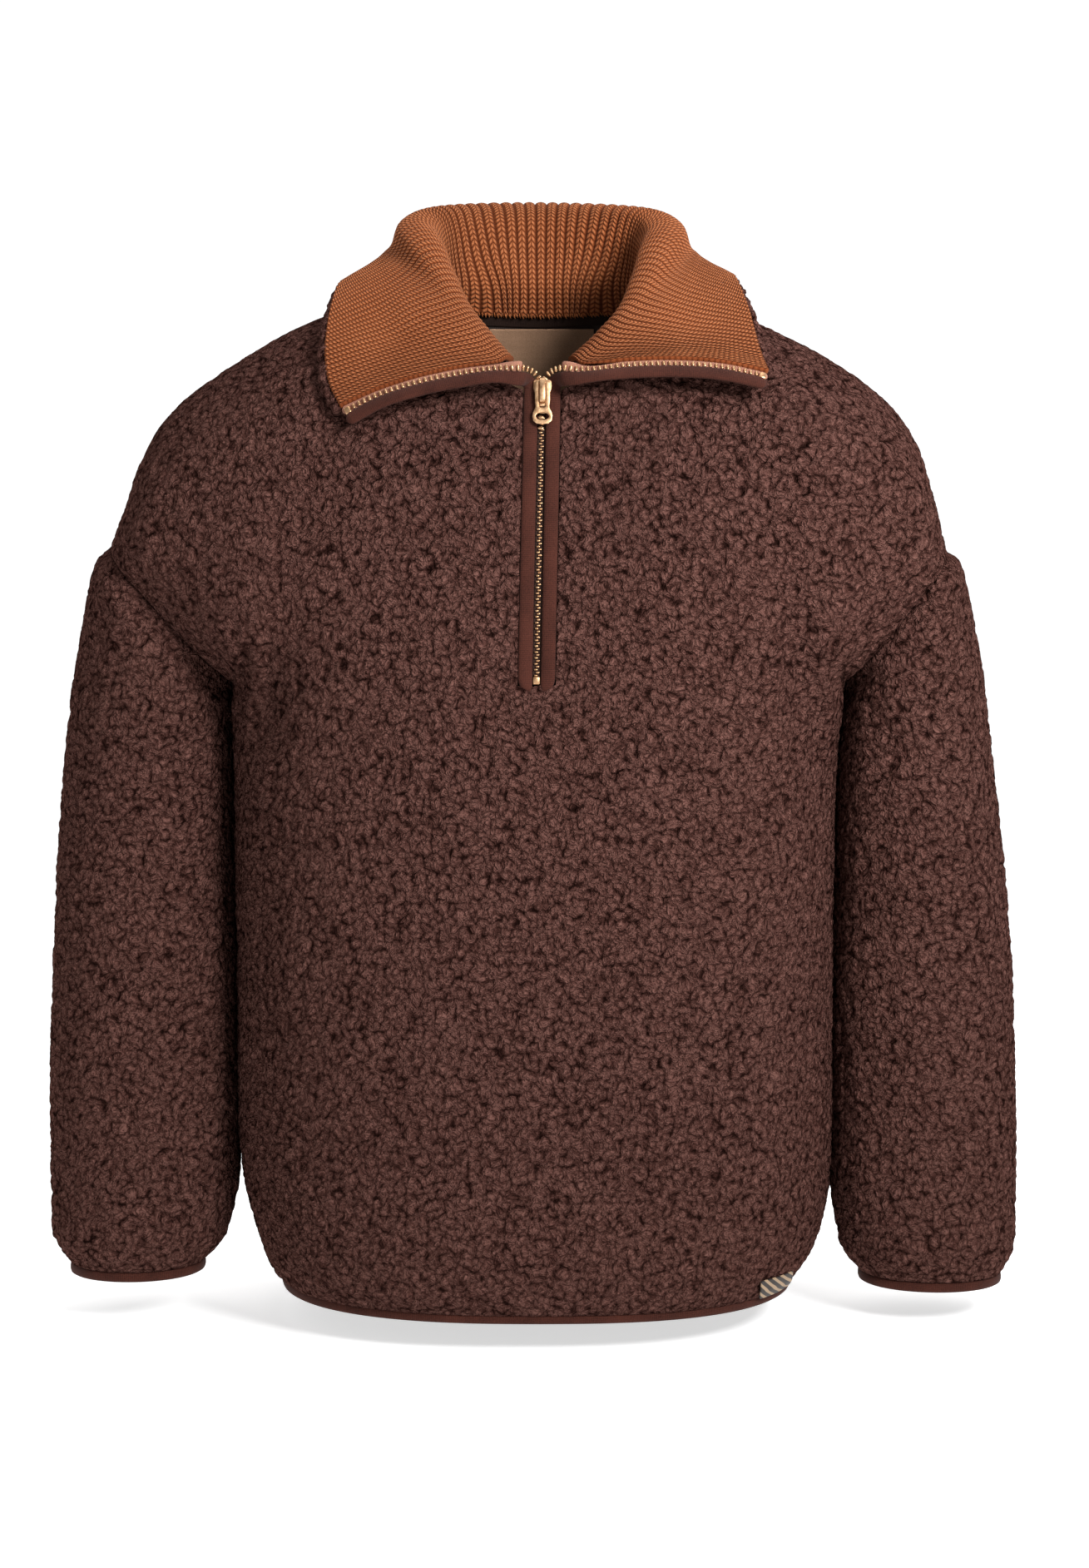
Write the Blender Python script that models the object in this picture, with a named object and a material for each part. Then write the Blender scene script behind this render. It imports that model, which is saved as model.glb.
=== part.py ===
"""A half-zip sweater of curly wool fleece, filled out as if worn.

X goes to the viewer's right, the front faces -Y and Z goes up. The origin is the middle
of the neck at shoulder height. Every piece of cloth is a wall: a grid of outer points, the
same grid moved in by the cloth's thickness, and a strip that closes each edge.
"""

import math

import bpy
import bmesh
import numpy as np
from mathutils import Matrix, Vector

# Driving dimensions, in metres
FLEECE = 0.007
SEAM = 0.00015
HEM_Z = -0.6433
BINDING_HEIGHT = 0.0066
HEM_INSET = 0.3
HEM_THICKNESS = 0.0034
CUFF_INSET = 0.0012
CUFF_THICKNESS = 0.0032
NECK_HALF_WIDTH = 0.095
FRONT_NECK_Z = -0.050
BACK_NECK_Z = 0.006
BACK_RISE = 0.030
SHOULDER_ROUNDING = 0.065
ARM_FRONT = 0.068
ARM_BACK = 0.062
UNDERARM_TURN = 0.022
SQUARENESS = 2.5
SLOT = 0.0121
ZIP_END_Z = -0.232
SIDES = {"left": -1.0, "right": 1.0}

# Underarm and shoulder ends of the dropped armhole: distance out, height
UNDERARM = {"left": (0.2030, -0.2400), "right": (0.2000, -0.2400)}
SHOULDER_END = {"left": (0.2840, -0.1500), "right": (0.2680, -0.1530)}

# Torso sections: height, left half width, right half width, front depth, back depth
TORSO = np.array((
    (-0.6433, 0.1650, 0.1600, 0.1330, 0.1190),
    (-0.6350, 0.1760, 0.1700, 0.1420, 0.1270),
    (-0.6240, 0.1830, 0.1780, 0.1480, 0.1320),
    (-0.6120, 0.1875, 0.1845, 0.1520, 0.1350),
    (-0.5900, 0.1930, 0.1890, 0.1550, 0.1380),
    (-0.5600, 0.1970, 0.1910, 0.1570, 0.1400),
    (-0.4500, 0.1990, 0.1915, 0.1550, 0.1380),
    (-0.3500, 0.2000, 0.1920, 0.1500, 0.1320),
    (-0.3000, 0.2005, 0.1930, 0.1450, 0.1280),
    (-0.2600, 0.2015, 0.1965, 0.1410, 0.1250),
    (-0.2400, 0.2030, 0.2000, 0.1390, 0.1240),
    (-0.1500, 0.2030, 0.2000, 0.1280, 0.1190),
    (-0.1000, 0.2030, 0.2000, 0.1160, 0.1120),
    (-0.0500, 0.2030, 0.2000, 0.0990, 0.1000),
    (0.0000, 0.2030, 0.2000, 0.0830, 0.0870),
    (0.0200, 0.2030, 0.2000, 0.0760, 0.0820),
))

# Shoulder line: distance out, height on the left, height on the right
SHOULDER = np.array((
    (0.0000, 0.0125, 0.0125),
    (0.0950, 0.0125, 0.0125),
    (0.1150, 0.0080, 0.0065),
    (0.1440, 0.0005, -0.0045),
    (0.1670, -0.0100, -0.0150),
    (0.1870, -0.0210, -0.0255),
    (0.2030, -0.0320, -0.0360),
    (0.2200, -0.0430, -0.0480),
    (0.2360, -0.0545, -0.0640),
    (0.2470, -0.0660, -0.0820),
    (0.2560, -0.0780, -0.1080),
    (0.2640, -0.0980, -0.1400),
    (0.2680, -0.1085, -0.1530),
    (0.2720, -0.1200, -0.1650),
    (0.2800, -0.1410, -0.1900),
    (0.2840, -0.1500, -0.2050),
))

# Sleeve rings: share down from the armhole, height under the arm, height at the outside,
# distance out under the arm and at the outside, left and then right, half depth, middle y
SLEEVE = np.array((
    (0.00, -0.2400, -0.1500, 0.2030, 0.2840, 0.2000, 0.2680, 0.0680, 0.000),
    (0.02, -0.2475, -0.1600, 0.2062, 0.2935, 0.2030, 0.2765, 0.0725, 0.000),
    (0.05, -0.2560, -0.1740, 0.2070, 0.2975, 0.2025, 0.2810, 0.0735, 0.000),
    (0.10, -0.2680, -0.1980, 0.2070, 0.3030, 0.2010, 0.2870, 0.0725, 0.001),
    (0.18, -0.2900, -0.2380, 0.2070, 0.3100, 0.1990, 0.2940, 0.0705, 0.002),
    (0.28, -0.3200, -0.2850, 0.2065, 0.3160, 0.1980, 0.3000, 0.0690, 0.001),
    (0.40, -0.3650, -0.3450, 0.2060, 0.3210, 0.1970, 0.3070, 0.0670, -0.002),
    (0.55, -0.4250, -0.4150, 0.2050, 0.3245, 0.1965, 0.3135, 0.0650, -0.006),
    (0.70, -0.4950, -0.4900, 0.2045, 0.3275, 0.1960, 0.3168, 0.0625, -0.012),
    (0.83, -0.5550, -0.5540, 0.2045, 0.3278, 0.1960, 0.3178, 0.0600, -0.016),
    (0.92, -0.5950, -0.5955, 0.2075, 0.3268, 0.1985, 0.3172, 0.0570, -0.019),
    (0.97, -0.6140, -0.6150, 0.2140, 0.3240, 0.2035, 0.3150, 0.0520, -0.020),
    (1.00, -0.6255, -0.6265, 0.2250, 0.3150, 0.2130, 0.3085, 0.0440, -0.021),
))
CUFF_DROP = {"left": 0.0, "right": 0.0070}

# Soft folds of a panel: share out from the middle (left is negative) and share up, at each
# end, then half width and height in metres
FRONT_FOLDS = (
    (-0.98, 0.80, -0.62, 0.93, 0.022, 0.0040),
    (-0.93, 0.66, -0.70, 0.88, 0.020, -0.0035),
    (0.98, 0.79, 0.66, 0.92, 0.020, 0.0038),
    (0.92, 0.62, 0.72, 0.86, 0.020, -0.0034),
    (-0.70, 0.30, -0.20, 0.22, 0.030, 0.0028),
    (0.25, 0.16, 0.75, 0.26, 0.028, -0.0026),
    (0.60, 0.46, 0.90, 0.52, 0.026, 0.0030),
    (-0.90, 0.48, -0.62, 0.40, 0.024, -0.0028),
    (-0.35, 0.05, 0.05, 0.09, 0.022, 0.0024),
)
BACK_FOLDS = (
    (-0.96, 0.79, -0.60, 0.90, 0.024, 0.0042),
    (-0.92, 0.64, -0.64, 0.84, 0.022, -0.0036),
    (0.97, 0.80, 0.58, 0.91, 0.024, 0.0040),
    (0.90, 0.63, 0.66, 0.85, 0.020, -0.0034),
    (-0.40, 0.40, 0.45, 0.36, 0.034, 0.0036),
    (-0.55, 0.24, 0.30, 0.29, 0.030, -0.0032),
    (-0.20, 0.12, 0.62, 0.16, 0.028, 0.0030),
)

# Soft folds of a sleeve: share down and turn (0 under the arm, 0.5 outside, front first) at
# each end, then half width as a share and height in metres
SLEEVE_FOLDS = {
    "left": (
        (0.10, 0.16, 0.30, 0.34, 0.050, 0.0032),
        (0.42, 0.10, 0.36, 0.34, 0.045, -0.0036),
        (0.50, 0.12, 0.46, 0.40, 0.040, 0.0034),
        (0.78, 0.20, 0.84, 0.42, 0.045, -0.0028),
        (0.40, 0.66, 0.50, 0.92, 0.050, 0.0034),
        (0.72, 0.62, 0.66, 0.86, 0.045, -0.0030),
    ),
    "right": (
        (0.12, 0.14, 0.26, 0.30, 0.050, -0.0034),
        (0.36, 0.12, 0.46, 0.36, 0.045, 0.0036),
        (0.56, 0.14, 0.50, 0.38, 0.042, -0.0034),
        (0.86, 0.16, 0.78, 0.36, 0.045, 0.0028),
        (0.34, 0.64, 0.42, 0.90, 0.050, -0.0034),
        (0.62, 0.64, 0.70, 0.88, 0.045, 0.0032),
    ),
}

# Collar, from the left zip edge round the neck to the right one: share of the neck seam,
# top of the roll x y z, free edge x y z, radius of the roll, outward in plan x y
COLLAR = np.array((
    (0.00, -0.0178, -0.0960, -0.0275, -0.1270, -0.1100, -0.0570, 0.0092, 0.00, -1.00),
    (0.08, -0.0330, -0.0850, -0.0100, -0.1340, -0.0960, -0.0440, 0.0098, -0.35, -0.94),
    (0.14, -0.0455, -0.0730, 0.0060, -0.1365, -0.0830, -0.0270, 0.0104, -0.62, -0.78),
    (0.20, -0.0590, -0.0500, 0.0290, -0.1370, -0.0680, -0.0080, 0.0116, -0.83, -0.55),
    (0.26, -0.0735, -0.0180, 0.0520, -0.1350, -0.0400, 0.0100, 0.0140, -0.96, -0.28),
    (0.32, -0.0830, 0.0200, 0.0650, -0.1300, 0.0000, 0.0240, 0.0155, -1.00, 0.10),
    (0.40, -0.0700, 0.0620, 0.0750, -0.1040, 0.0680, 0.0130, 0.0135, -0.70, 0.70),
    (0.50, 0.0000, 0.0920, 0.0790, 0.0000, 0.1085, 0.0000, 0.0105, 0.00, 1.00),
    (0.60, 0.0710, 0.0620, 0.0740, 0.1030, 0.0660, 0.0150, 0.0135, 0.70, 0.70),
    (0.68, 0.0835, 0.0200, 0.0635, 0.1255, 0.0000, 0.0280, 0.0155, 1.00, 0.10),
    (0.74, 0.0755, -0.0180, 0.0505, 0.1300, -0.0360, 0.0180, 0.0138, 0.96, -0.28),
    (0.80, 0.0630, -0.0510, 0.0280, 0.1340, -0.0620, 0.0040, 0.0116, 0.83, -0.55),
    (0.86, 0.0505, -0.0740, 0.0050, 0.1370, -0.0780, -0.0100, 0.0104, 0.62, -0.78),
    (0.92, 0.0355, -0.0860, -0.0120, 0.1405, -0.0900, -0.0240, 0.0098, 0.35, -0.94),
    (1.00, 0.0183, -0.0960, -0.0275, 0.1445, -0.1000, -0.0350, 0.0092, 0.00, -1.00),
))
RIBS = 96
RIB_HEIGHT = 0.0006
RIB_KNIT = 0.003
PLY_GAP = 0.0003
COLLAR_FLEECE = 0.005
STAND_ROWS = 3
ROLL_ROWS = 4
FALL_ROWS = 4
COLLAR_START = 0.0215
NECK_GAP = 0.0012
COLUMNS_PER_PLY = 6

# How finely each piece of cloth is divided: columns beside the neck and out to the seam,
# rows below the underarm and beside the armhole
FRONT_COLUMNS = (4, 9)
BACK_COLUMNS = (5, 8)
BODY_ROWS = 12
ARM_ROWS = 10
SLEEVE_SHARES = (
    0.0, 0.02, 0.05, 0.09, 0.14, 0.20, 0.26, 0.32, 0.38, 0.45,
    0.52, 0.60, 0.68, 0.76, 0.84, 0.91, 0.96, 1.0,
)

# Zip: bend above the slider, widths of the tape and of the bindings beside it
BEND_Z = -0.0465
BEND_RADIUS = 0.012
FORWARD_FROM = 0.0045
FLAP_START_Y = -0.1075
TEETH_OUT = 0.0013
TEETH_FROM_RIB = 0.0062
TAPE_INSIDE = 0.0053
TAPE_THICKNESS = 0.0024
BINDING_START = 0.0016
BINDING_WIDTH = 0.0089
BINDING_THICKNESS = 0.0026
SLIDER_X = 0.0012
HINGE_Y = -0.1018
HINGE_Z = -0.0425
HINGE_LEAN = math.radians(-18.0)
BRIDGE_GAP = 0.0014
CHAIN_HALF_WIDTH = 0.0026
CHAIN_THICKNESS = 0.0024
SLIDER_ROOM = 0.008

# Label inside the back neck and tag at the hem: from and to across, up, gap and thickness
LABEL_ACROSS = (-0.035, 0.036)
LABEL_HEIGHTS = (-0.050, -0.006)
LABEL_GAP_AND_THICKNESS = (0.0006, 0.0008)
TAG_ACROSS = (0.1417, 0.1640)
TAG_HEIGHTS = (-0.6350, -0.6205)
TAG_GAP_AND_THICKNESS = (0.0014, 0.0009)


def table_value(table, column, at, key=0):
    """A smooth curve through one column of a table, read at the given keys."""
    keys = table[:, key]
    values = table[:, column]
    slopes = np.gradient(values, keys)
    at = np.clip(np.asarray(at, float), keys[0], keys[-1])
    cell = np.clip(np.searchsorted(keys, at, side="right") - 1, 0, len(keys) - 2)
    step = keys[cell + 1] - keys[cell]
    t = (at - keys[cell]) / step
    rise = values[cell + 1] - values[cell]
    return (
        values[cell]
        + rise * t * t * (3 - 2 * t)
        + step * t * (1 - t) * (slopes[cell] * (1 - t) - slopes[cell + 1] * t)
    )


def smooth_step(value, low, high):
    share = np.clip((value - low) / (high - low), 0.0, 1.0)
    return share * share * (3 - 2 * share)


def unit(vectors):
    length = np.linalg.norm(vectors, axis=-1, keepdims=True)
    return vectors / np.maximum(length, 1e-12)


def dome(share):
    """A quarter circle: 0 at the shoulder line, 1 once past the rounding."""
    share = np.clip(share, 0.0, 1.0)
    return np.sqrt(np.maximum(0.0, 1.0 - (1.0 - share) ** 2))


def shoulder_height(out, side):
    height = table_value(SHOULDER, 1 if side == "left" else 2, out)
    rise = BACK_RISE * np.clip(1.0 - (out / NECK_HALF_WIDTH) ** 2, 0.0, 1.0)
    return height + rise


def torso_depth(out, height, side, face):
    """How far the cloth stands from the plane y = 0, front or back."""
    column = 3 if face == "front" else 4
    depth = table_value(TORSO, column, height)
    arm = ARM_FRONT if face == "front" else ARM_BACK
    low_out, low_z = UNDERARM[side]
    top_out, top_z = SHOULDER_END[side]
    share = np.clip((height - low_z) / (top_z - low_z), 0.0, 1.0)
    seam_out = low_out + (top_out - low_out) * share
    seam_depth = arm * dome(2 * share)
    ratio = np.clip(seam_depth / depth, 0.0, 0.98)
    open_reach = seam_out / (1 - ratio**SQUARENESS) ** (1 / SQUARENESS)
    closed_reach = table_value(TORSO, 1 if side == "left" else 2, height)
    reach = np.where(height > low_z, open_reach, closed_reach)
    section = (1 - np.clip(out / reach, 0.0, 1.0) ** SQUARENESS) ** (1 / SQUARENESS)
    drop = shoulder_height(out, side) - height
    return depth * section * dome(drop / SHOULDER_ROUNDING)


def armhole_point(side, share, face):
    """A point of the armhole seam: share 0 is the underarm, 1 the shoulder end."""
    low_out, low_z = UNDERARM[side]
    top_out, top_z = SHOULDER_END[side]
    out = low_out + (top_out - low_out) * share
    height = low_z + (top_z - low_z) * share
    depth = torso_depth(out, height, side, face)
    sign = -1.0 if face == "front" else 1.0
    return np.stack((SIDES[side] * out, sign * depth, height + 0 * depth), axis=-1)


def armhole_shares(count):
    return (1 - np.cos(np.pi * np.arange(count + 1) / count)) / 2


def armhole_inner(side, shares, face):
    """The seam's inner line: the outer one moved in within the plane of the seam."""
    fine = armhole_shares(400)
    ring = armhole_point(side, fine, face)
    ends = ring[-1] - ring[0]
    axis = ends / np.linalg.norm(ends)
    along = (ring - ring[0]) @ axis
    depth = ring[:, 1]
    tangent_a = np.gradient(along)
    tangent_y = np.gradient(depth)
    tangent_a[0] = tangent_a[-1] = 0.0
    sign = -1.0 if face == "front" else 1.0
    normal_a = tangent_y * sign
    normal_y = -tangent_a * sign
    length = np.hypot(normal_a, normal_y)
    normal_a = normal_a / length
    normal_y = normal_y / length
    move_a = np.interp(shares, fine, normal_a)
    move_y = np.interp(shares, fine, normal_y)
    points = armhole_point(side, shares, face)
    moved = points + FLEECE * move_a[:, None] * axis
    moved[:, 1] += FLEECE * move_y
    return moved


def seam_normal(side):
    """Across the armhole seam, towards the chest."""
    low_out, low_z = UNDERARM[side]
    top_out, top_z = SHOULDER_END[side]
    normal = np.array((-SIDES[side] * (top_z - low_z), 0.0, top_out - low_out))
    return normal / np.linalg.norm(normal)


def neckline_height(out, face):
    low = FRONT_NECK_Z if face == "front" else BACK_NECK_Z
    power = 1.48 if face == "front" else 1.6
    share = np.clip(out / NECK_HALF_WIDTH, 0.0, 1.0)
    return low + (float(SHOULDER[1, 1]) - low) * share**power


def ridge(u, v, folds, scale_u=1.0, scale_v=1.0):
    """Sum of soft ridges, each one along a line from (u0, v0) to (u1, v1)."""
    total = np.zeros(np.broadcast(u, v).shape)
    for u0, v0, u1, v1, half_width, height in folds:
        du = (u1 - u0) * scale_u
        dv = (v1 - v0) * scale_v
        pu = (u - u0) * scale_u
        pv = (v - v0) * scale_v
        along = np.clip((pu * du + pv * dv) / (du * du + dv * dv), 0.0, 1.0)
        away = np.hypot(pu - along * du, pv - along * dv)
        fade = 0.35 + 0.65 * np.sin(np.pi * np.clip(along, 0.02, 0.98))
        total = total + height * fade * np.exp(-((away / half_width) ** 2))
    return total


def panel_half(side, face, columns, body_rows, arm_rows, folds):
    """One half of a panel, from its middle line out to the seam, hem first."""
    low_out, low_z = UNDERARM[side]
    top_out, top_z = SHOULDER_END[side]
    start = SLOT if face == "front" else 0.0
    first = HEM_Z + BINDING_HEIGHT + 2 * SEAM
    near_hem = (0.0, 0.0065, 0.0160, 0.0300)
    near_arm = (0.0150, 0.0055, 0.0)
    between = np.linspace(near_hem[-1], low_z - first - near_arm[0], body_rows - 4)
    lower = first + np.concatenate((near_hem[:-1], between, low_z - first - np.array(near_arm[1:])))
    shares = armhole_shares(arm_rows)
    upper = low_z + (top_z - low_z) * shares
    side_z = np.concatenate((lower, upper[1:]))
    edge = np.concatenate((
        table_value(TORSO, 1 if side == "left" else 2, lower),
        (low_out + (top_out - low_out) * shares)[1:],
    ))
    neck, rest = columns
    round_neck = (NECK_HALF_WIDTH - start) * np.sin(np.linspace(0.0, np.pi / 2, neck + 1))
    neck_turns = np.arcsin(round_neck / (top_out - start)) * 2 / np.pi
    turns = np.concatenate((neck_turns, np.linspace(neck_turns[-1], 1.0, rest + 1)[1:]))
    spread = np.sin(turns * np.pi / 2)
    rise = (side_z - first) / (top_z - first)
    top = start + (top_out - start) * spread
    top_height = np.where(
        np.arange(len(turns)) < neck,
        neckline_height(top, face),
        shoulder_height(top, side),
    )
    out = start + (edge[:, None] - start) * spread[None, :]
    height = first + (top_height[None, :] - first) * rise[:, None]
    depth = torso_depth(out, height, side, face)
    depth[-1, neck:] = 0.0
    depth[: body_rows + 1, -1] = 0.0
    share_out = SIDES[side] * spread[None, :] + 0 * height
    share_up = rise[:, None] + 0 * height
    bump = ridge(share_out, share_up, folds, 0.2, 0.6)
    hold = smooth_step(1 - spread, 0.0, 0.06)[None, :]
    hold = hold * smooth_step(1 - rise, 0.0, 0.06)[:, None]
    hold = hold * smooth_step(rise, 0.0, 0.04)[:, None]
    sign = -1.0 if face == "front" else 1.0
    points = np.stack((SIDES[side] * out, sign * depth, height), axis=-1)
    points[body_rows:, -1] = armhole_point(side, shares, face)
    points[-1, -1, 1] = 0.0
    return points, bump * hold


def grid_normals(points, mirror_left, mirror_right, mirror_top):
    """Outward unit normals, with the cloth taken on past its side and top seams."""
    flip = np.array((1.0, -1.0, 1.0))
    left = points[:, 1:2] * flip if mirror_left else 2 * points[:, :1] - points[:, 1:2]
    right = points[:, -2:-1] * flip if mirror_right else 2 * points[:, -1:] - points[:, -2:-1]
    wide = np.concatenate((left, points, right), axis=1)
    past = 2 * wide[-1:] - wide[-2:-1]
    past = np.where(mirror_top[None, :, None], wide[-2:-1] * flip, past)
    before = 2 * wide[:1] - wide[1:2]
    tall = np.concatenate((before, wide, past), axis=0)
    across = tall[1:-1, 2:] - tall[1:-1, :-2]
    up = tall[2:, 1:-1] - tall[:-2, 1:-1]
    return unit(np.cross(across, up))


def underarm_lean(side, drop):
    """Direction through the cloth at the side seam, turning over at the underarm."""
    low_out, low_z = UNDERARM[side]
    top_out, top_z = SHOULDER_END[side]
    most = np.pi - np.arctan2(top_z - low_z, top_out - low_out)
    angle = most * (1 - drop / UNDERARM_TURN) ** 2
    return np.array((-SIDES[side] * np.cos(angle), 0.0, np.sin(angle)))


def panel(face, columns, body_rows, arm_rows, folds):
    """A whole panel: its outer grid and its inner grid, rows from the hem up."""
    halves = {}
    for side in SIDES:
        halves[side] = panel_half(side, face, columns, body_rows, arm_rows, folds)
    left, left_bump = halves["left"]
    right, right_bump = halves["right"]
    skip = 0 if face == "front" else 1
    outer = np.concatenate((left[:, ::-1], right[:, skip:]), axis=1)
    bump = np.concatenate((left_bump[:, ::-1], right_bump[:, skip:]), axis=1)
    centre = (outer.shape[1] - 1) / 2
    reach = columns[0] + (0.5 if face == "front" else 0.0)
    shoulder = np.abs(np.arange(-1, outer.shape[1] + 1) - centre) >= reach - 0.01
    turn = 1.0 if face == "front" else -1.0
    outer = outer + turn * grid_normals(outer, True, True, shoulder) * bump[:, :, None]
    inner = outer - turn * FLEECE * grid_normals(outer, True, True, shoulder)
    shares = armhole_shares(arm_rows)
    for side, column in (("left", 0), ("right", -1)):
        inner[body_rows:, column] = armhole_inner(side, shares, face)
        for row in range(body_rows):
            drop = UNDERARM[side][1] - outer[row, column, 2]
            if drop < UNDERARM_TURN:
                inner[row, column] = outer[row, column] + FLEECE * underarm_lean(side, drop)
        outer[body_rows:, column] += seam_normal(side) * SEAM
        inner[body_rows:, column] += seam_normal(side) * SEAM
    for grid in (outer, inner):
        grid[: body_rows + 1, 0, 1] = -turn * SEAM
        grid[: body_rows + 1, -1, 1] = -turn * SEAM
        grid[-1, shoulder[1:-1], 1] = -turn * SEAM
    return outer, inner


def sleeve(side, shares_down, arm_rows):
    """A sleeve tube: outer and inner rings, starting under the arm and turning by the front."""
    shares = armhole_shares(arm_rows)
    front = armhole_point(side, shares, "front")
    back = armhole_point(side, shares, "back")
    first = np.concatenate((front[:-1], back[:0:-1]))
    turn = np.arange(2 * arm_rows) / (2 * arm_rows)
    share = (1 - np.cos(2 * np.pi * turn)) / 2
    down = np.asarray(shares_down)
    shift = 0 if side == "left" else 2
    low_z = table_value(SLEEVE, 1, down)[:, None]
    high_z = table_value(SLEEVE, 2, down)[:, None]
    low_out = table_value(SLEEVE, 3 + shift, down)[:, None]
    high_out = table_value(SLEEVE, 4 + shift, down)[:, None]
    half = table_value(SLEEVE, 7, down)[:, None]
    middle = table_value(SLEEVE, 8, down)[:, None]
    out = low_out + (high_out - low_out) * share
    height = low_z + (high_z - low_z) * share - CUFF_DROP[side] * smooth_step(down, 0.3, 1.0)[:, None]
    swell = np.sin(2 * np.pi * turn)
    oval = middle - half * np.sign(swell) * np.abs(swell) ** 0.92
    settle = smooth_step(down, 0.0, 0.10)[:, None]
    seam_y = first[None, :, 1] * (half / SLEEVE[0, 7])
    outer = np.stack((SIDES[side] * out, seam_y * (1 - settle) + oval * settle, height), axis=-1)
    outer[0] = first
    bump = ridge(down[:, None], turn[None, :], SLEEVE_FOLDS[side])
    bump = bump * smooth_step(down, 0.03, 0.15)[:, None] * smooth_step(1 - down, 0.0, 0.08)[:, None]
    outer = outer + tube_normals(outer, side) * bump[:, :, None]
    inner = outer - FLEECE * tube_normals(outer, side)
    front = armhole_inner(side, shares, "front")
    back = armhole_inner(side, shares, "back")
    inner[0] = np.concatenate((front[:-1], back[:0:-1]))
    outer[0] -= seam_normal(side) * SEAM
    inner[0] -= seam_normal(side) * SEAM
    return outer, inner


def tube_normals(points, side):
    """Outward unit normals of closed rings, the first ring being the upper one."""
    around = np.roll(points, -1, axis=1) - np.roll(points, 1, axis=1)
    first = 2 * points[:1] - points[1:2]
    last = 2 * points[-1:] - points[-2:-1]
    tall = np.concatenate((first, points, last))
    down = tall[2:] - tall[:-2]
    normals = unit(np.cross(around, down))
    return -normals if side == "right" else normals


def wall(name, outer, inner, around=False, mask=None, flip=False):
    """One closed body from two matching grids; rows and columns alike in both."""
    rows, columns = outer.shape[:2]
    body = bmesh.new()
    tops = [[body.verts.new(Vector(point)) for point in row] for row in outer]
    unders = [[body.verts.new(Vector(point)) for point in row] for row in inner]
    last = columns if around else columns - 1
    used = np.ones((rows - 1, last), bool) if mask is None else mask

    def add(corners):
        body.faces.new(corners[::-1] if flip else corners)

    def is_cell(row, column):
        if around:
            column = column % last
        return 0 <= row < rows - 1 and 0 <= column < last and used[row, column]

    for row in range(rows - 1):
        for column in range(last):
            if not used[row, column]:
                continue
            beside = (column + 1) % columns
            ring = ((row, column), (row, beside), (row + 1, beside), (row + 1, column))
            add([tops[r][c] for r, c in ring])
            add([unders[r][c] for r, c in ring[::-1]])
            steps = ((row - 1, column), (row, column + 1), (row + 1, column), (row, column - 1))
            for index, step in enumerate(steps):
                if is_cell(*step):
                    continue
                a = ring[index]
                b = ring[(index + 1) % 4]
                add([tops[b[0]][b[1]], tops[a[0]][a[1]], unders[a[0]][a[1]], unders[b[0]][b[1]]])
    loose = [vertex for vertex in body.verts if not vertex.link_faces]
    bmesh.ops.delete(body, geom=loose, context="VERTS")
    return finish(name, body)


def finish(name, body):
    """Triangulates, makes the faces point out and adds the object with its material."""
    bmesh.ops.triangulate(body, faces=body.faces[:])
    if body.calc_volume(signed=True) < 0:
        bmesh.ops.reverse_faces(body, faces=body.faces[:])
    mesh = bpy.data.meshes.new(name)
    body.to_mesh(mesh)
    body.free()
    for polygon in mesh.polygons:
        polygon.use_smooth = True
    node = bpy.data.objects.new(name, mesh)
    bpy.context.scene.collection.objects.link(node)
    node.data.materials.append(material_for(name))
    return node


def zip_centre(height):
    """The zip leans a little: its middle at each height."""
    return 0.0010 - 0.0036 * np.clip((-0.05 - np.asarray(height)) / 0.182, 0.0, 1.0)


def lean(points):
    """Moves points beside the zip across with it."""
    moved = points.copy()
    moved[..., 0] += zip_centre(points[..., 2]) * np.exp(-((points[..., 0] / 0.06) ** 2))
    return moved


def body_level(points):
    """Nought on the torso's surface and more than nought outside it."""
    out = np.abs(points[..., 0])
    values = []
    for side in SIDES:
        for face in ("front", "back"):
            column = 3 if face == "front" else 4
            depth = table_value(TORSO, column, points[..., 2])
            arm = ARM_FRONT if face == "front" else ARM_BACK
            top_out = SHOULDER_END[side][0]
            ratio = np.clip(arm / depth, 0.0, 0.98)
            reach = top_out / (1 - ratio**SQUARENESS) ** (1 / SQUARENESS)
            section = (1 - np.clip(out / reach, 0.0, 0.95) ** SQUARENESS) ** (1 / SQUARENESS)
            share = (shoulder_height(out, side) - points[..., 2]) / SHOULDER_ROUNDING
            values.append((points[..., 1] / (depth * section)) ** 2 + (1 - np.minimum(share, 1)) ** 2 - 1)
    left = np.where(points[..., 1] < 0, values[0], values[1])
    right = np.where(points[..., 1] < 0, values[2], values[3])
    return np.where(points[..., 0] < 0, left, right)


def clear_of_body(points, distance, share):
    """Moves points out until they stand this far from the torso; share fades the move."""
    step = 0.0005
    for _ in range(4):
        slope = np.stack(
            [
                (body_level(points + step * axis) - body_level(points - step * axis)) / (2 * step)
                for axis in np.eye(3)
            ],
            axis=-1,
        )
        steep = np.linalg.norm(slope, axis=-1, keepdims=True)
        level = body_level(points)[..., None] / np.maximum(steep, 1e-9)
        move = np.clip(distance - level, 0.0, 0.02)
        points = points + slope / np.maximum(steep, 1e-9) * move * share[..., None]
    return points


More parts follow.
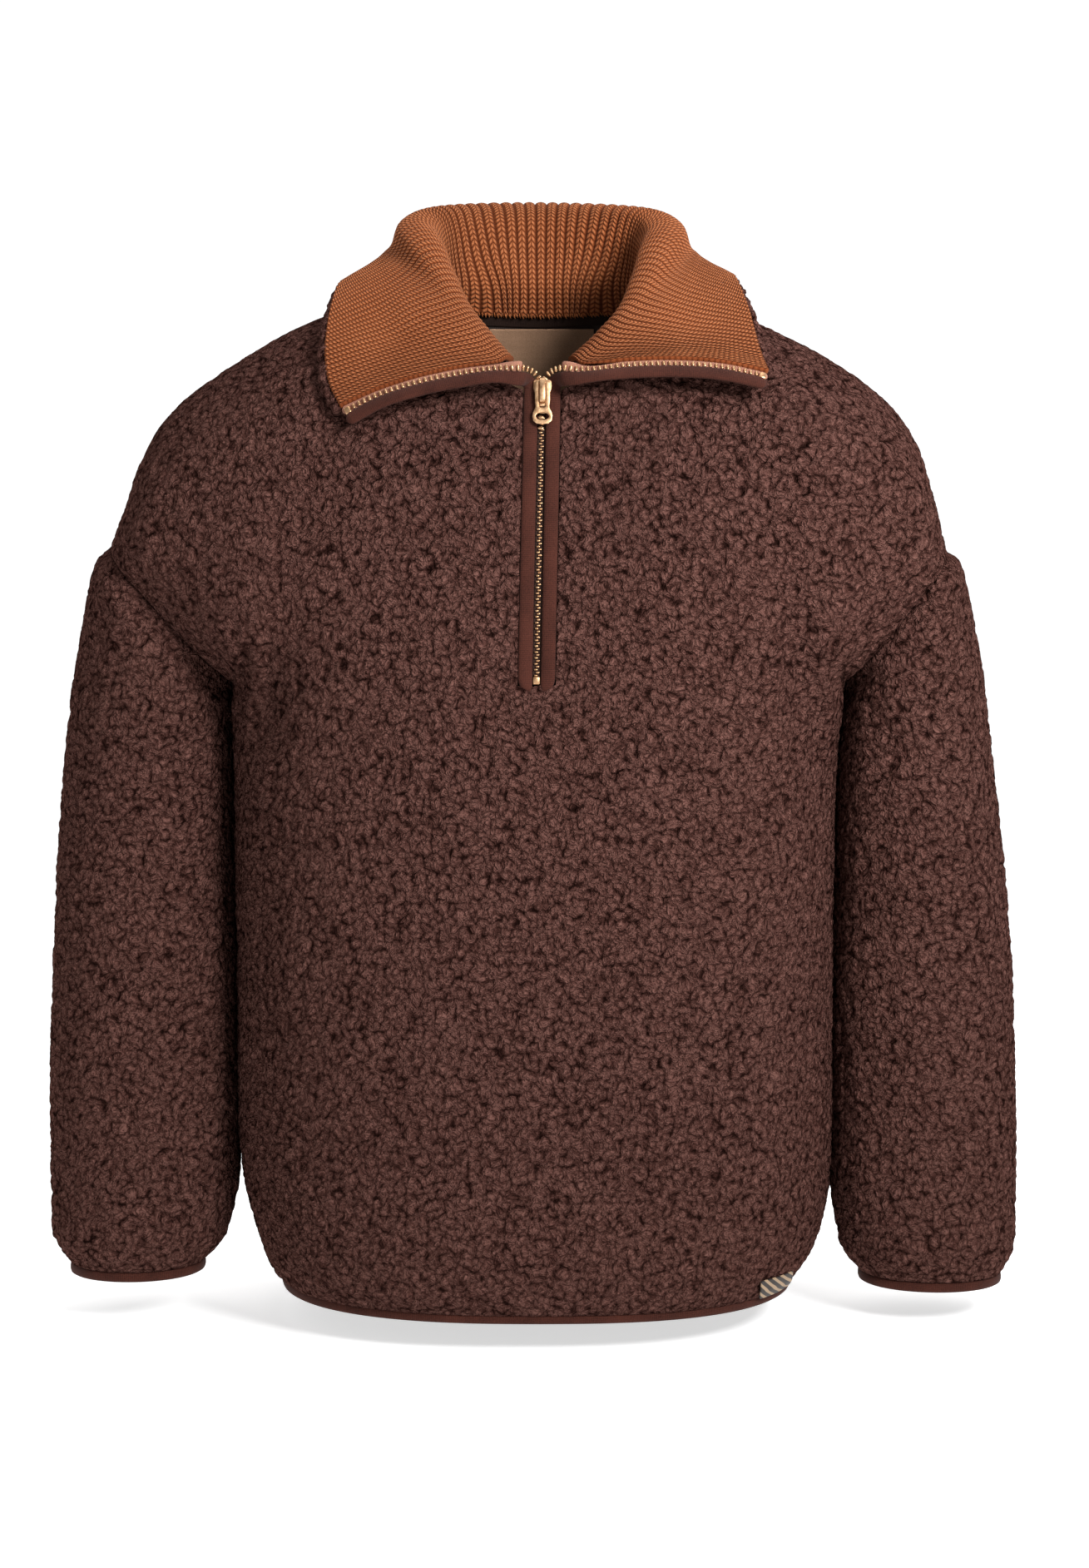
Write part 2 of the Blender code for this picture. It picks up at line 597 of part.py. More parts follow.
def neckline(front, back, front_inner, back_inner):
    """The neck seam from the left zip edge to the right one.

    Gives outer points, outward normals and the direction in which the cloth would run on.
    """
    count = FRONT_COLUMNS[0]
    middle = front.shape[1] // 2
    behind = back.shape[1] // 2
    left = np.arange(middle - 1, middle - 2 - count, -1)
    right = np.arange(middle + count, middle - 1, -1)
    across = np.arange(behind - BACK_COLUMNS[0], behind + BACK_COLUMNS[0] + 1)
    points = np.concatenate((front[-1, left[:-1]], back[-1, across], front[-1, right[1:]]))
    under = np.concatenate((
        front_inner[-1, left[:-1]], back_inner[-1, across], front_inner[-1, right[1:]],
    ))
    normal = unit(points - under)
    along = unit(np.gradient(points, axis=0))
    onward = unit(np.cross(along, normal))
    inward = points * np.array((-1.0, -1.0, 0.0)) + np.array((0.0, 0.0, 0.06))
    onward *= np.sign(np.sum(onward * inward, axis=1, keepdims=True))
    return points, normal, onward


def hermite(start, start_slope, end, end_slope, t):
    a = 2 * t**3 - 3 * t**2 + 1
    b = t**3 - 2 * t**2 + t
    c = -2 * t**3 + 3 * t**2
    d = t**3 - t**2
    return a * start + b * start_slope + c * end + d * end_slope


def collar_surface(shares, seam):
    """The rib side of the collar: one row of points at each step from the neck to the edge."""
    points, normal, upward = seam
    length = np.concatenate(((0.0,), np.cumsum(np.linalg.norm(np.diff(points, axis=0), axis=1))))
    length = length / length[-1]
    place = COLLAR_START + (1 - 2 * COLLAR_START) * shares
    coarse = place[::COLUMNS_PER_PLY].copy()
    for corner in length[1:-1]:
        coarse[1 + np.argmin(np.abs(coarse[1:-1] - corner))] = corner
    place = np.interp(shares, shares[::COLUMNS_PER_PLY], coarse)
    at = np.stack([np.interp(place, length, points[:, axis]) for axis in range(3)], axis=1)
    out = unit(np.stack([np.interp(place, length, normal[:, axis]) for axis in range(3)], axis=1))
    up = unit(np.stack([np.interp(place, length, upward[:, axis]) for axis in range(3)], axis=1))
    stack = RIB_KNIT + PLY_GAP + COLLAR_FLEECE
    foot = at + NECK_GAP * up - stack * out
    top = np.stack([table_value(COLLAR, column, shares) for column in (1, 2, 3)], axis=1)
    edge = np.stack([table_value(COLLAR, column, shares) for column in (4, 5, 6)], axis=1)
    radius = table_value(COLLAR, 7, shares)[:, None]
    plan = np.stack((table_value(COLLAR, 8, shares), table_value(COLLAR, 9, shares), 0 * shares), axis=1)
    along = unit(np.gradient(top, axis=0))
    high = np.array((0.0, 0.0, 1.0))
    nearest = np.minimum(shares, 1 - shares)[:, None]
    flat = 1 - smooth_step(nearest, 0.10, 0.27)
    plan = unit(plan * (1 - flat) + out * flat)
    plan = unit(plan - along * np.sum(plan * along, axis=1, keepdims=True))
    crown = np.cross(plan, along)
    crown = crown * np.sign(crown[:, 2:3])
    centre = top - radius * crown
    inside = centre - radius * plan
    outside = centre + radius * plan
    rows = []
    reach = np.linalg.norm(inside - foot, axis=1, keepdims=True)
    for step in range(STAND_ROWS):
        rows.append(hermite(foot, up * reach, inside, crown * reach, step / STAND_ROWS))
    for step in range(ROLL_ROWS):
        angle = math.pi * step / ROLL_ROWS
        rows.append(centre - math.cos(angle) * radius * plan + math.sin(angle) * radius * crown)
    fall = edge - outside
    reach = np.linalg.norm(fall, axis=1, keepdims=True)
    near_zip = 1 - smooth_step(np.minimum(shares, 1 - shares), 0.0, 0.16)[:, None]
    start = unit(-crown * (0.45 - 0.35 * near_zip) + (0.8 + 0.25 * near_zip) * fall / reach)
    start = unit(start + 0.20 * near_zip * high)
    end = unit(fall / reach - 0.25 * high * near_zip)
    for step in range(FALL_ROWS + 1):
        t = step / FALL_ROWS
        row = hermite(outside, start * reach, edge, end * reach, t)
        share = smooth_step(np.full(len(shares), t), -0.05, 0.15)
        rows.append(clear_of_body(row, stack + 0.0016, share))
    rows = np.stack(rows)
    normals = sheet_normals(rows)
    normals = normals * -np.sign(normals[0, len(shares) // 2, 1])
    settle = smooth_step(nearest, 0.04, 0.12)
    for step in range(STAND_ROWS):
        share = step / STAND_ROWS * settle
        normals[step] = unit(normals[step] * share - out * (1 - share))
    for step in range(ROLL_ROWS + 1):
        angle = math.pi * step / ROLL_ROWS
        normals[STAND_ROWS + step] = math.sin(angle) * crown - math.cos(angle) * plan
    return rows, normals


def sheet_normals(points):
    across = np.gradient(points, axis=1)
    down = np.gradient(points, axis=0)
    return unit(np.cross(across, down))


def ribbed_wall(name, outer, inner, step):
    """A wall whose outer grid has several columns to each column of the inner one."""
    rows, columns = outer.shape[:2]
    body = bmesh.new()
    tops = [[body.verts.new(Vector(point)) for point in row] for row in outer]
    unders = [[body.verts.new(Vector(point)) for point in row] for row in inner]
    for row in range(rows - 1):
        for column in range(columns - 1):
            body.faces.new((
                tops[row][column],
                tops[row][column + 1],
                tops[row + 1][column + 1],
                tops[row + 1][column],
            ))
        for column in range(len(unders[0]) - 1):
            body.faces.new((
                unders[row][column],
                unders[row + 1][column],
                unders[row + 1][column + 1],
                unders[row][column + 1],
            ))
        for top_column, under_column, turn in ((0, 0, 1), (-1, -1, -1)):
            ring = (
                tops[row][top_column],
                tops[row + 1][top_column],
                unders[row + 1][under_column],
                unders[row][under_column],
            )
            body.faces.new(ring[::turn])
    for row, turn in ((0, -1), (rows - 1, 1)):
        for column in range(len(unders[0]) - 1):
            first = column * step
            half = first + step // 2
            fans = [(tops[row][k], tops[row][k + 1], unders[row][column]) for k in range(first, half)]
            fans.append((tops[row][half], unders[row][column + 1], unders[row][column]))
            fans += [
                (tops[row][k], tops[row][k + 1], unders[row][column + 1])
                for k in range(half, first + step)
            ]
            for fan in fans:
                body.faces.new(fan[::turn])
    return finish(name, body)


def zip_line(side, collar, down_rows=10, bend_rows=5):
    """The line of the teeth from the zip's end up to the slider and out along the flap.

    Gives points, the direction across towards the teeth's free side, and facing normals.
    """
    sign = SIDES[side]
    low = np.linspace(ZIP_END_Z, BEND_Z, down_rows + 1)
    lip = torso_depth(np.full(len(low), SLOT), low, side, "front")
    straight = np.stack((zip_centre(low) + sign * TEETH_OUT, -lip + 0.0005, low), axis=1)
    turn = np.linspace(0.0, np.pi / 2, bend_rows + 1)[1:]
    bend_out = TEETH_OUT + BEND_RADIUS * (1 - np.cos(turn))
    bend_end = TEETH_OUT + BEND_RADIUS
    forward = np.interp(bend_out, (FORWARD_FROM, bend_end), (straight[-1, 1], FLAP_START_Y))
    corner = np.stack((
        zip_centre(BEND_Z) + sign * bend_out,
        forward,
        BEND_Z + BEND_RADIUS * np.sin(turn),
    ), axis=1)
    flap = collar[STAND_ROWS + ROLL_ROWS :]
    column = 0 if side == "left" else -1
    beside = 3 if side == "left" else -4
    edge = flap[:, column]
    away = unit(edge - flap[:, beside])
    ahead = unit(np.gradient(edge, axis=0))
    face = unit(np.cross(away, ahead))
    face = face * -np.sign(face[:, 1:2])
    away = np.cross(ahead, face)
    away = away * -np.sign(away[:, 2:3])
    teeth = edge + away * TEETH_FROM_RIB - 0.0006 * face
    points = np.concatenate((straight, corner, teeth))
    across = np.concatenate((
        np.tile((-sign, 0.0, 0.0), (len(straight), 1)),
        np.stack((-sign * np.cos(turn), 0 * turn, np.sin(turn)), axis=1),
        -away,
    ))
    ahead = unit(np.gradient(points, axis=0))
    across = unit(across - ahead * np.sum(across * ahead, axis=1, keepdims=True))
    normal = unit(np.cross(across, ahead)) * (1.0 if side == "left" else -1.0)
    return points, across, normal


def strip(name, line, start, end, thickness, crown=0.0, rows=slice(None)):
    """A band along a line, from one distance across it to another, facing the normals."""
    points, across, normal = (part[rows] for part in line)
    columns = (start, (start + end) / 2, end)
    outer = np.stack([points + across * offset for offset in columns], axis=1)
    outer[:, 1] += normal * crown
    inner = np.stack([points + across * offset - normal * thickness for offset in columns], axis=1)
    return wall(name, outer, inner)


def band(name, ring, outward, height, thickness):
    """A bound edge: a closed band under a ring of points, rounded along its outer face."""
    low = np.array((0.0, 0.0, 1.0))
    profile = ((0.0000, 1.0), (0.0012, 0.7), (0.0010, 0.25), (-0.0004, 0.0))
    outer = np.stack([ring + outward * move - low * height * (1 - share) for move, share in profile])
    inner = np.stack([
        ring - outward * thickness - low * height * (1 - share) for _, share in profile
    ])
    return wall(name, outer, inner, around=True)


def sample_sheet(grid, across, heights):
    """Points on a grid's surface at the given x across and z down its rows."""
    found = []
    for height in heights:
        row_points = []
        for x in across:
            column = np.array([
                (np.interp(x, row[:, 0], row[:, 1]), np.interp(x, row[:, 0], row[:, 2]))
                for row in grid
            ])
            row_points.append((x, np.interp(height, column[:, 1], column[:, 0]), height))
        found.append(row_points)
    return np.array(found)


def plate(name, points, normals, gap, thickness):
    """A thin patch that stands a little off the surface whose points it is made from."""
    return wall(name, points + normals * (gap + thickness), points + normals * gap)


def outline_plate(name, rings, y_front, y_back):
    """A flat plate in the XZ plane from closed outlines: the outer one, then its holes."""
    body = bmesh.new()
    edges = []
    for ring in rings:
        corners = [body.verts.new((x, y_front, z)) for x, z in ring]
        edges += [body.edges.new((a, b)) for a, b in zip(corners, corners[1:] + corners[:1])]
    bmesh.ops.triangle_fill(body, use_beauty=True, edges=edges)
    grown = bmesh.ops.extrude_face_region(body, geom=body.faces[:])
    moved = [item for item in grown["geom"] if isinstance(item, bmesh.types.BMVert)]
    for vertex in moved:
        vertex.co.y = y_back
    bmesh.ops.recalc_face_normals(body, faces=body.faces[:])
    return finish(name, body)


def oval(centre_x, centre_z, half_x, half_z, count=20, power=1.0):
    ring = []
    for index in range(count):
        angle = 2 * math.pi * index / count
        c = math.cos(angle)
        s = math.sin(angle)
        ring.append((
            centre_x + half_x * math.copysign(abs(c) ** power, c),
            centre_z + half_z * math.copysign(abs(s) ** power, s),
        ))
    return ring


COLOURS = {
    "fleece": (0.105, 0.055, 0.045, 1.0),
    "rib": (0.42, 0.14, 0.045, 1.0),
    "binding": (0.14, 0.042, 0.03, 1.0),
    "tape": (0.55, 0.30, 0.22, 1.0),
    "metal": (0.55, 0.38, 0.20, 1.0),
    "label": (0.45, 0.33, 0.20, 1.0),
}
KINDS = {
    "front": "fleece",
    "back": "fleece",
    "sleeve_left": "fleece",
    "sleeve_right": "fleece",
    "collar_fleece": "fleece",
    "collar_rib": "rib",
    "zip_tape_left": "tape",
    "zip_tape_right": "tape",
    "zip_chain": "metal",
    "slider": "metal",
    "bridge": "metal",
    "pull_tab": "metal",
    "neck_label": "label",
    "hem_tag": "label",
}


def material_for(name):
    """Each piece's own plain material."""
    kind = KINDS.get(name, "binding")
    material = bpy.data.materials.new(name)
    material.use_nodes = True
    shader = material.node_tree.nodes["Principled BSDF"]
    shader.inputs["Base Color"].default_value = COLOURS[kind]
    shader.inputs["Roughness"].default_value = 0.3 if kind == "metal" else 0.9
    shader.inputs["Metallic"].default_value = 1.0 if kind == "metal" else 0.0
    return material


def lean_about_hinge(node):
    """Turns a piece so that it lies along the chest, about the middle of the hinge."""
    turn = Matrix.Rotation(HINGE_LEAN, 4, "X")
    node.data.transform(turn)
    node.location = (SLIDER_X, HINGE_Y, HINGE_Z)
    return node


def build_slider():
    """The slider's plate with the bridge that holds the pull tab, drawn about the hinge."""
    half = (
        (0.0012, 0.0022), (0.0046, 0.0022), (0.0059, 0.0012), (0.0059, -0.0030),
        (0.0048, -0.0075), (0.0048, -0.0135), (0.0042, -0.0155),
    )
    ring = [(0.0, 0.0012)] + list(half) + [(-x, z) for x, z in half[::-1]]
    slider = outline_plate("slider", [ring], BRIDGE_GAP, 0.0031)
    body = bmesh.new()
    profile = (
        (0.0020, 0.0025), (-0.0016, 0.0023), (-0.0028, 0.0010), (-0.0028, -0.0122),
        (-0.0020, -0.0135), (0.0020, -0.0135), (0.0020, -0.0120), (-0.0008, -0.0118),
        (-BRIDGE_GAP, -0.0108), (-BRIDGE_GAP, 0.0004), (-0.0008, 0.0014), (0.0020, 0.0015),
    )
    corners = [body.verts.new((-0.0018, y, z)) for y, z in profile]
    body.faces.new(corners)
    grown = bmesh.ops.extrude_face_region(body, geom=body.faces[:])
    for item in grown["geom"]:
        if isinstance(item, bmesh.types.BMVert):
            item.co.x = 0.0018
    bmesh.ops.recalc_face_normals(body, faces=body.faces[:])
    bridge = finish("bridge", body)
    bridge.hide_render = True
    bridge.hide_set(True)
    joined = slider.modifiers.new("bridge", "BOOLEAN")
    joined.operation = "UNION"
    joined.solver = "EXACT"
    joined.object = bridge
    lean_about_hinge(bridge)
    return lean_about_hinge(slider)


def build_pull_tab():
    """The tab that hangs from the bridge: a window round it, a waist and a ring."""
    half = (
        (0.0030, 0.0010), (0.0044, 0.0003), (0.0048, -0.0010), (0.0048, -0.0125),
        (0.0043, -0.0150), (0.0046, -0.0172), (0.0060, -0.0200), (0.0064, -0.0228),
        (0.0058, -0.0256), (0.0038, -0.0274), (0.0, -0.0279),
    )
    ring = [(x, z) for x, z in half] + [(-x, z) for x, z in half[-2::-1]]
    window_half = ((0.0012, -0.0168), (0.0023, -0.0158), (0.0023, -0.0010))
    window = [(x, z) for x, z in window_half] + [(-x, z) for x, z in window_half[::-1]]
    hole = oval(0.0, -0.0226, 0.0042, 0.0025, 16)
    return lean_about_hinge(outline_plate("pull_tab", [ring, window, hole], -0.00055, 0.00055))


def build():
    for old in list(bpy.data.objects):
        bpy.data.objects.remove(old, do_unlink=True)
    front, front_inner = panel("front", FRONT_COLUMNS, BODY_ROWS, ARM_ROWS, FRONT_FOLDS)
    back, back_inner = panel("back", BACK_COLUMNS, BODY_ROWS, ARM_ROWS, BACK_FOLDS)
    front = lean(front)
    front_inner = lean(front_inner)
    seam = neckline(front, back, front_inner, back_inner)
    middle = front.shape[1] // 2 - 1
    cells = np.ones((front.shape[0] - 1, front.shape[1] - 1), bool)
    middle_z = (front[1:, middle, 2] + front[:-1, middle, 2]) / 2
    cells[middle_z > ZIP_END_Z - 0.001, middle] = False
    wall("front", front, front_inner, mask=cells)
    wall("back", back, back_inner, flip=True)

    for side in SIDES:
        outer, inner = sleeve(side, SLEEVE_SHARES, ARM_ROWS)
        wall(f"sleeve_{side}", outer, inner, around=True, flip=side == "right")
        ring = outer[-1]
        outward = tube_normals(outer, side)[-1] * np.array((1.0, 1.0, 0.0))
        start = ring - unit(outward) * CUFF_INSET - np.array((0.0, 0.0, 2 * SEAM))
        band(f"cuff_binding_{side}", start, unit(outward), BINDING_HEIGHT, CUFF_THICKNESS)

    edge = np.concatenate((front[0], back[0, -2:0:-1]))
    edge_inner = np.concatenate((front_inner[0], back_inner[0, -2:0:-1]))
    outward = unit((edge - edge_inner) * np.array((1.0, 1.0, 0.0)))
    start = edge + (edge_inner - edge) * HEM_INSET - np.array((0.0, 0.0, 2 * SEAM))
    band("hem_binding", start, outward, BINDING_HEIGHT, HEM_THICKNESS)

    count = 2 * RIBS + 1
    shares = np.linspace(0.0, 1.0, count)
    face, normals = collar_surface(shares, seam)
    relief = np.where(np.arange(count) % 2 == 0, RIB_HEIGHT, -RIB_HEIGHT)[None, :, None]
    behind = (face - normals * RIB_KNIT)[:, ::COLUMNS_PER_PLY]
    ribbed_wall("collar_rib", face + normals * relief, behind, COLUMNS_PER_PLY)
    near = (face - normals * (RIB_KNIT + PLY_GAP))[:, ::COLUMNS_PER_PLY]
    far = (face - normals * (RIB_KNIT + PLY_GAP + COLLAR_FLEECE))[:, ::COLUMNS_PER_PLY]
    wall("collar_fleece", far, near)

    for side in SIDES:
        line = zip_line(side, face)
        start = -BINDING_START
        strip(
            f"zip_binding_{side}", line, start, start - BINDING_WIDTH, BINDING_THICKNESS, 0.0010
        )
        flap = slice(-FALL_ROWS - 1, None)
        strip(
            f"zip_tape_{side}", line, TAPE_INSIDE, start + PLY_GAP, TAPE_THICKNESS, 0.0, flap
        )
    low = np.linspace(ZIP_END_Z, BEND_Z - SLIDER_ROOM, 11)
    lip = torso_depth(np.full(len(low), SLOT), low, "left", "front")
    chain = np.stack((zip_centre(low), -lip + 0.0005, low), axis=1)
    ahead = unit(np.gradient(chain, axis=0))
    across = np.tile((1.0, 0.0, 0.0), (len(low), 1))
    line = (chain, across, unit(np.cross(across, ahead)))
    strip("zip_chain", line, -CHAIN_HALF_WIDTH, CHAIN_HALF_WIDTH, CHAIN_THICKNESS)
    build_slider()
    build_pull_tab()

    across = np.linspace(*LABEL_ACROSS, 7)
    heights = np.linspace(*LABEL_HEIGHTS, 5)
    points = sample_sheet(back_inner, across, heights)
    inward = -unit(sheet_normals(points))
    inward = inward * -np.sign(inward[:, :, 1:2])
    plate("neck_label", points, inward, *LABEL_GAP_AND_THICKNESS)

    across = np.linspace(*TAG_ACROSS, 4)
    heights = np.linspace(*TAG_HEIGHTS, 3)
    points = sample_sheet(front, across, heights)
    outward = unit(sheet_normals(points))
    outward = outward * -np.sign(outward[:, :, 1:2])
    plate("hem_tag", points, outward, *TAG_GAP_AND_THICKNESS)


build()
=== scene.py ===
# %% [markdown]
# A half-zip sweater of curly wool fleece, shown filled out as if somebody wore it. It is cut from
# a front, a back, two sleeves and a tall collar of two plies: fleece outside and rust-orange rib
# knit inside, folded open over the chest. Narrow smooth bindings close every raw edge.
#
# A garment like this could be draped by a simulation, but its folds would then not be those of the
# photograph. Here each cloth is a grid of points, worked out from a few sections and moved by soft
# folds at listed places. The same form is in the part's source, only coarser.

# %% Load the frame
import math

import bmesh
import bpy
import numpy as np
from mathutils import Matrix, Vector


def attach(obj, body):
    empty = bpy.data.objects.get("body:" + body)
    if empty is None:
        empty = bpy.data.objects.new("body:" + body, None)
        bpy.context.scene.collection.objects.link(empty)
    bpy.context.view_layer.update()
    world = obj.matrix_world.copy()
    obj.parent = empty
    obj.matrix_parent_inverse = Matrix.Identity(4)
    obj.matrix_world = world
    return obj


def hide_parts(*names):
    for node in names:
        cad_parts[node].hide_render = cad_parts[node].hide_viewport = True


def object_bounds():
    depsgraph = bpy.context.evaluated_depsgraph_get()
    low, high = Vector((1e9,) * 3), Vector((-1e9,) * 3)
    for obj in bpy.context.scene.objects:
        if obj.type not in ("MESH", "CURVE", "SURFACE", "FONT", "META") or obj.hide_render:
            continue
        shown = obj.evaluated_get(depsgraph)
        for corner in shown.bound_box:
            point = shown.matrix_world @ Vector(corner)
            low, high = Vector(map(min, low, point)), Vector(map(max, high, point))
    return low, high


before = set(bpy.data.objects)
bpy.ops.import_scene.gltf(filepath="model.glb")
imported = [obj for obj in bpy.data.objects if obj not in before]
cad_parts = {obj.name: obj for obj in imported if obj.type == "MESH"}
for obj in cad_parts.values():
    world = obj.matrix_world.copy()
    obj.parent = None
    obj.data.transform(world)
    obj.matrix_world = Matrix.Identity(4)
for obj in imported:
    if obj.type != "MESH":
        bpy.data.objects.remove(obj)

cad_low, cad_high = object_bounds()
print("frame with", len(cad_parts), "nodes")

# %% [markdown]
# The camera stands where the photographer stood: in front, a little above the middle, two and a
# half metres away. It is made first so that every later look uses it.

# %% The camera
AIM = Vector((0.0025, 0.0, -0.309))
CAMERA_RAISE = math.radians(6.0)
CAMERA_AWAY = 2.5
camera = bpy.data.cameras.new("camera")
camera.sensor_width = 36.0
camera.lens = 4500 / 1884 * 36.0
camera_object = bpy.data.objects.new("camera", camera)
bpy.context.scene.collection.objects.link(camera_object)
back_to_camera = Vector((0.0, -math.cos(CAMERA_RAISE), math.sin(CAMERA_RAISE)))
camera_object.location = AIM + CAMERA_AWAY * back_to_camera
camera_object.rotation_euler = (-back_to_camera).to_track_quat("-Z", "Y").to_euler()
bpy.context.scene.camera = camera_object
print("camera lens", round(camera.lens, 1), "mm")

# %% [markdown]
# The sizes are those of the real garment in metres: an adult medium. The tables give the torso's
# sections, the shoulder line, the sleeve's rings and the collar, and each fold is a soft ridge or
# trough along a line.

# %% Sizes
FLEECE = 0.007
SEAM = 0.00015
HEM_Z = -0.6433
BINDING_HEIGHT = 0.0066
HEM_INSET = 0.3
CUFF_INSET = 0.0012
NECK_HALF_WIDTH = 0.095
FRONT_NECK_Z = -0.050
BACK_NECK_Z = 0.006
BACK_RISE = 0.030
SHOULDER_ROUNDING = 0.065
ARM_FRONT = 0.068
ARM_BACK = 0.062
UNDERARM_TURN = 0.022
SQUARENESS = 2.5
SLOT = 0.0121
ZIP_END_Z = -0.232
SIDES = {"left": -1.0, "right": 1.0}

# %% Ends of the armholes, sections of the torso and the shoulder line
# Underarm and shoulder ends of the dropped armhole: distance out, height
UNDERARM = {"left": (0.2030, -0.2400), "right": (0.2000, -0.2400)}
SHOULDER_END = {"left": (0.2840, -0.1500), "right": (0.2680, -0.1530)}

# Torso sections: height, left half width, right half width, front depth, back depth
TORSO = np.array((
    (-0.6433, 0.1650, 0.1600, 0.1330, 0.1190),
    (-0.6350, 0.1760, 0.1700, 0.1420, 0.1270),
    (-0.6240, 0.1830, 0.1780, 0.1480, 0.1320),
    (-0.6120, 0.1875, 0.1845, 0.1520, 0.1350),
    (-0.5900, 0.1930, 0.1890, 0.1550, 0.1380),
    (-0.5600, 0.1970, 0.1910, 0.1570, 0.1400),
    (-0.4500, 0.1990, 0.1915, 0.1550, 0.1380),
    (-0.3500, 0.2000, 0.1920, 0.1500, 0.1320),
    (-0.3000, 0.2005, 0.1930, 0.1450, 0.1280),
    (-0.2600, 0.2015, 0.1965, 0.1410, 0.1250),
    (-0.2400, 0.2030, 0.2000, 0.1390, 0.1240),
    (-0.1500, 0.2030, 0.2000, 0.1280, 0.1190),
    (-0.1000, 0.2030, 0.2000, 0.1160, 0.1120),
    (-0.0500, 0.2030, 0.2000, 0.0990, 0.1000),
    (0.0000, 0.2030, 0.2000, 0.0830, 0.0870),
    (0.0200, 0.2030, 0.2000, 0.0760, 0.0820),
))

# Shoulder line: distance out, height on the left, height on the right
SHOULDER = np.array((
    (0.0000, 0.0125, 0.0125),
    (0.0950, 0.0125, 0.0125),
    (0.1150, 0.0080, 0.0065),
    (0.1440, 0.0005, -0.0045),
    (0.1670, -0.0100, -0.0150),
    (0.1870, -0.0210, -0.0255),
    (0.2030, -0.0320, -0.0360),
    (0.2200, -0.0430, -0.0480),
    (0.2360, -0.0545, -0.0640),
    (0.2470, -0.0660, -0.0820),
    (0.2560, -0.0780, -0.1080),
    (0.2640, -0.0980, -0.1400),
    (0.2680, -0.1085, -0.1530),
    (0.2720, -0.1200, -0.1650),
    (0.2800, -0.1410, -0.1900),
    (0.2840, -0.1500, -0.2050),
))

# %% Rings of the sleeves
# Sleeve rings: share down from the armhole, height under the arm, height at the outside,
# distance out under the arm and at the outside, left and then right, half depth, middle y
SLEEVE = np.array((
    (0.00, -0.2400, -0.1500, 0.2030, 0.2840, 0.2000, 0.2680, 0.0680, 0.000),
    (0.02, -0.2475, -0.1600, 0.2062, 0.2935, 0.2030, 0.2765, 0.0725, 0.000),
    (0.05, -0.2560, -0.1740, 0.2070, 0.2975, 0.2025, 0.2810, 0.0735, 0.000),
    (0.10, -0.2680, -0.1980, 0.2070, 0.3030, 0.2010, 0.2870, 0.0725, 0.001),
    (0.18, -0.2900, -0.2380, 0.2070, 0.3100, 0.1990, 0.2940, 0.0705, 0.002),
    (0.28, -0.3200, -0.2850, 0.2065, 0.3160, 0.1980, 0.3000, 0.0690, 0.001),
    (0.40, -0.3650, -0.3450, 0.2060, 0.3210, 0.1970, 0.3070, 0.0670, -0.002),
    (0.55, -0.4250, -0.4150, 0.2050, 0.3245, 0.1965, 0.3135, 0.0650, -0.006),
    (0.70, -0.4950, -0.4900, 0.2045, 0.3275, 0.1960, 0.3168, 0.0625, -0.012),
    (0.83, -0.5550, -0.5540, 0.2045, 0.3278, 0.1960, 0.3178, 0.0600, -0.016),
    (0.92, -0.5950, -0.5955, 0.2075, 0.3268, 0.1985, 0.3172, 0.0570, -0.019),
    (0.97, -0.6140, -0.6150, 0.2140, 0.3240, 0.2035, 0.3150, 0.0520, -0.020),
    (1.00, -0.6255, -0.6265, 0.2250, 0.3150, 0.2130, 0.3085, 0.0440, -0.021),
))
CUFF_DROP = {"left": 0.0, "right": 0.0070}

# %% Folds
# Soft folds of a panel: share out from the middle (left is negative) and share up, at each
# end, then half width and height in metres
FRONT_FOLDS = (
    (-0.98, 0.80, -0.62, 0.93, 0.022, 0.0040),
    (-0.93, 0.66, -0.70, 0.88, 0.020, -0.0035),
    (0.98, 0.79, 0.66, 0.92, 0.020, 0.0038),
    (0.92, 0.62, 0.72, 0.86, 0.020, -0.0034),
    (-0.70, 0.30, -0.20, 0.22, 0.030, 0.0028),
    (0.25, 0.16, 0.75, 0.26, 0.028, -0.0026),
    (0.60, 0.46, 0.90, 0.52, 0.026, 0.0030),
    (-0.90, 0.48, -0.62, 0.40, 0.024, -0.0028),
    (-0.35, 0.05, 0.05, 0.09, 0.022, 0.0024),
)
BACK_FOLDS = (
    (-0.96, 0.79, -0.60, 0.90, 0.024, 0.0042),
    (-0.92, 0.64, -0.64, 0.84, 0.022, -0.0036),
    (0.97, 0.80, 0.58, 0.91, 0.024, 0.0040),
    (0.90, 0.63, 0.66, 0.85, 0.020, -0.0034),
    (-0.40, 0.40, 0.45, 0.36, 0.034, 0.0036),
    (-0.55, 0.24, 0.30, 0.29, 0.030, -0.0032),
    (-0.20, 0.12, 0.62, 0.16, 0.028, 0.0030),
)

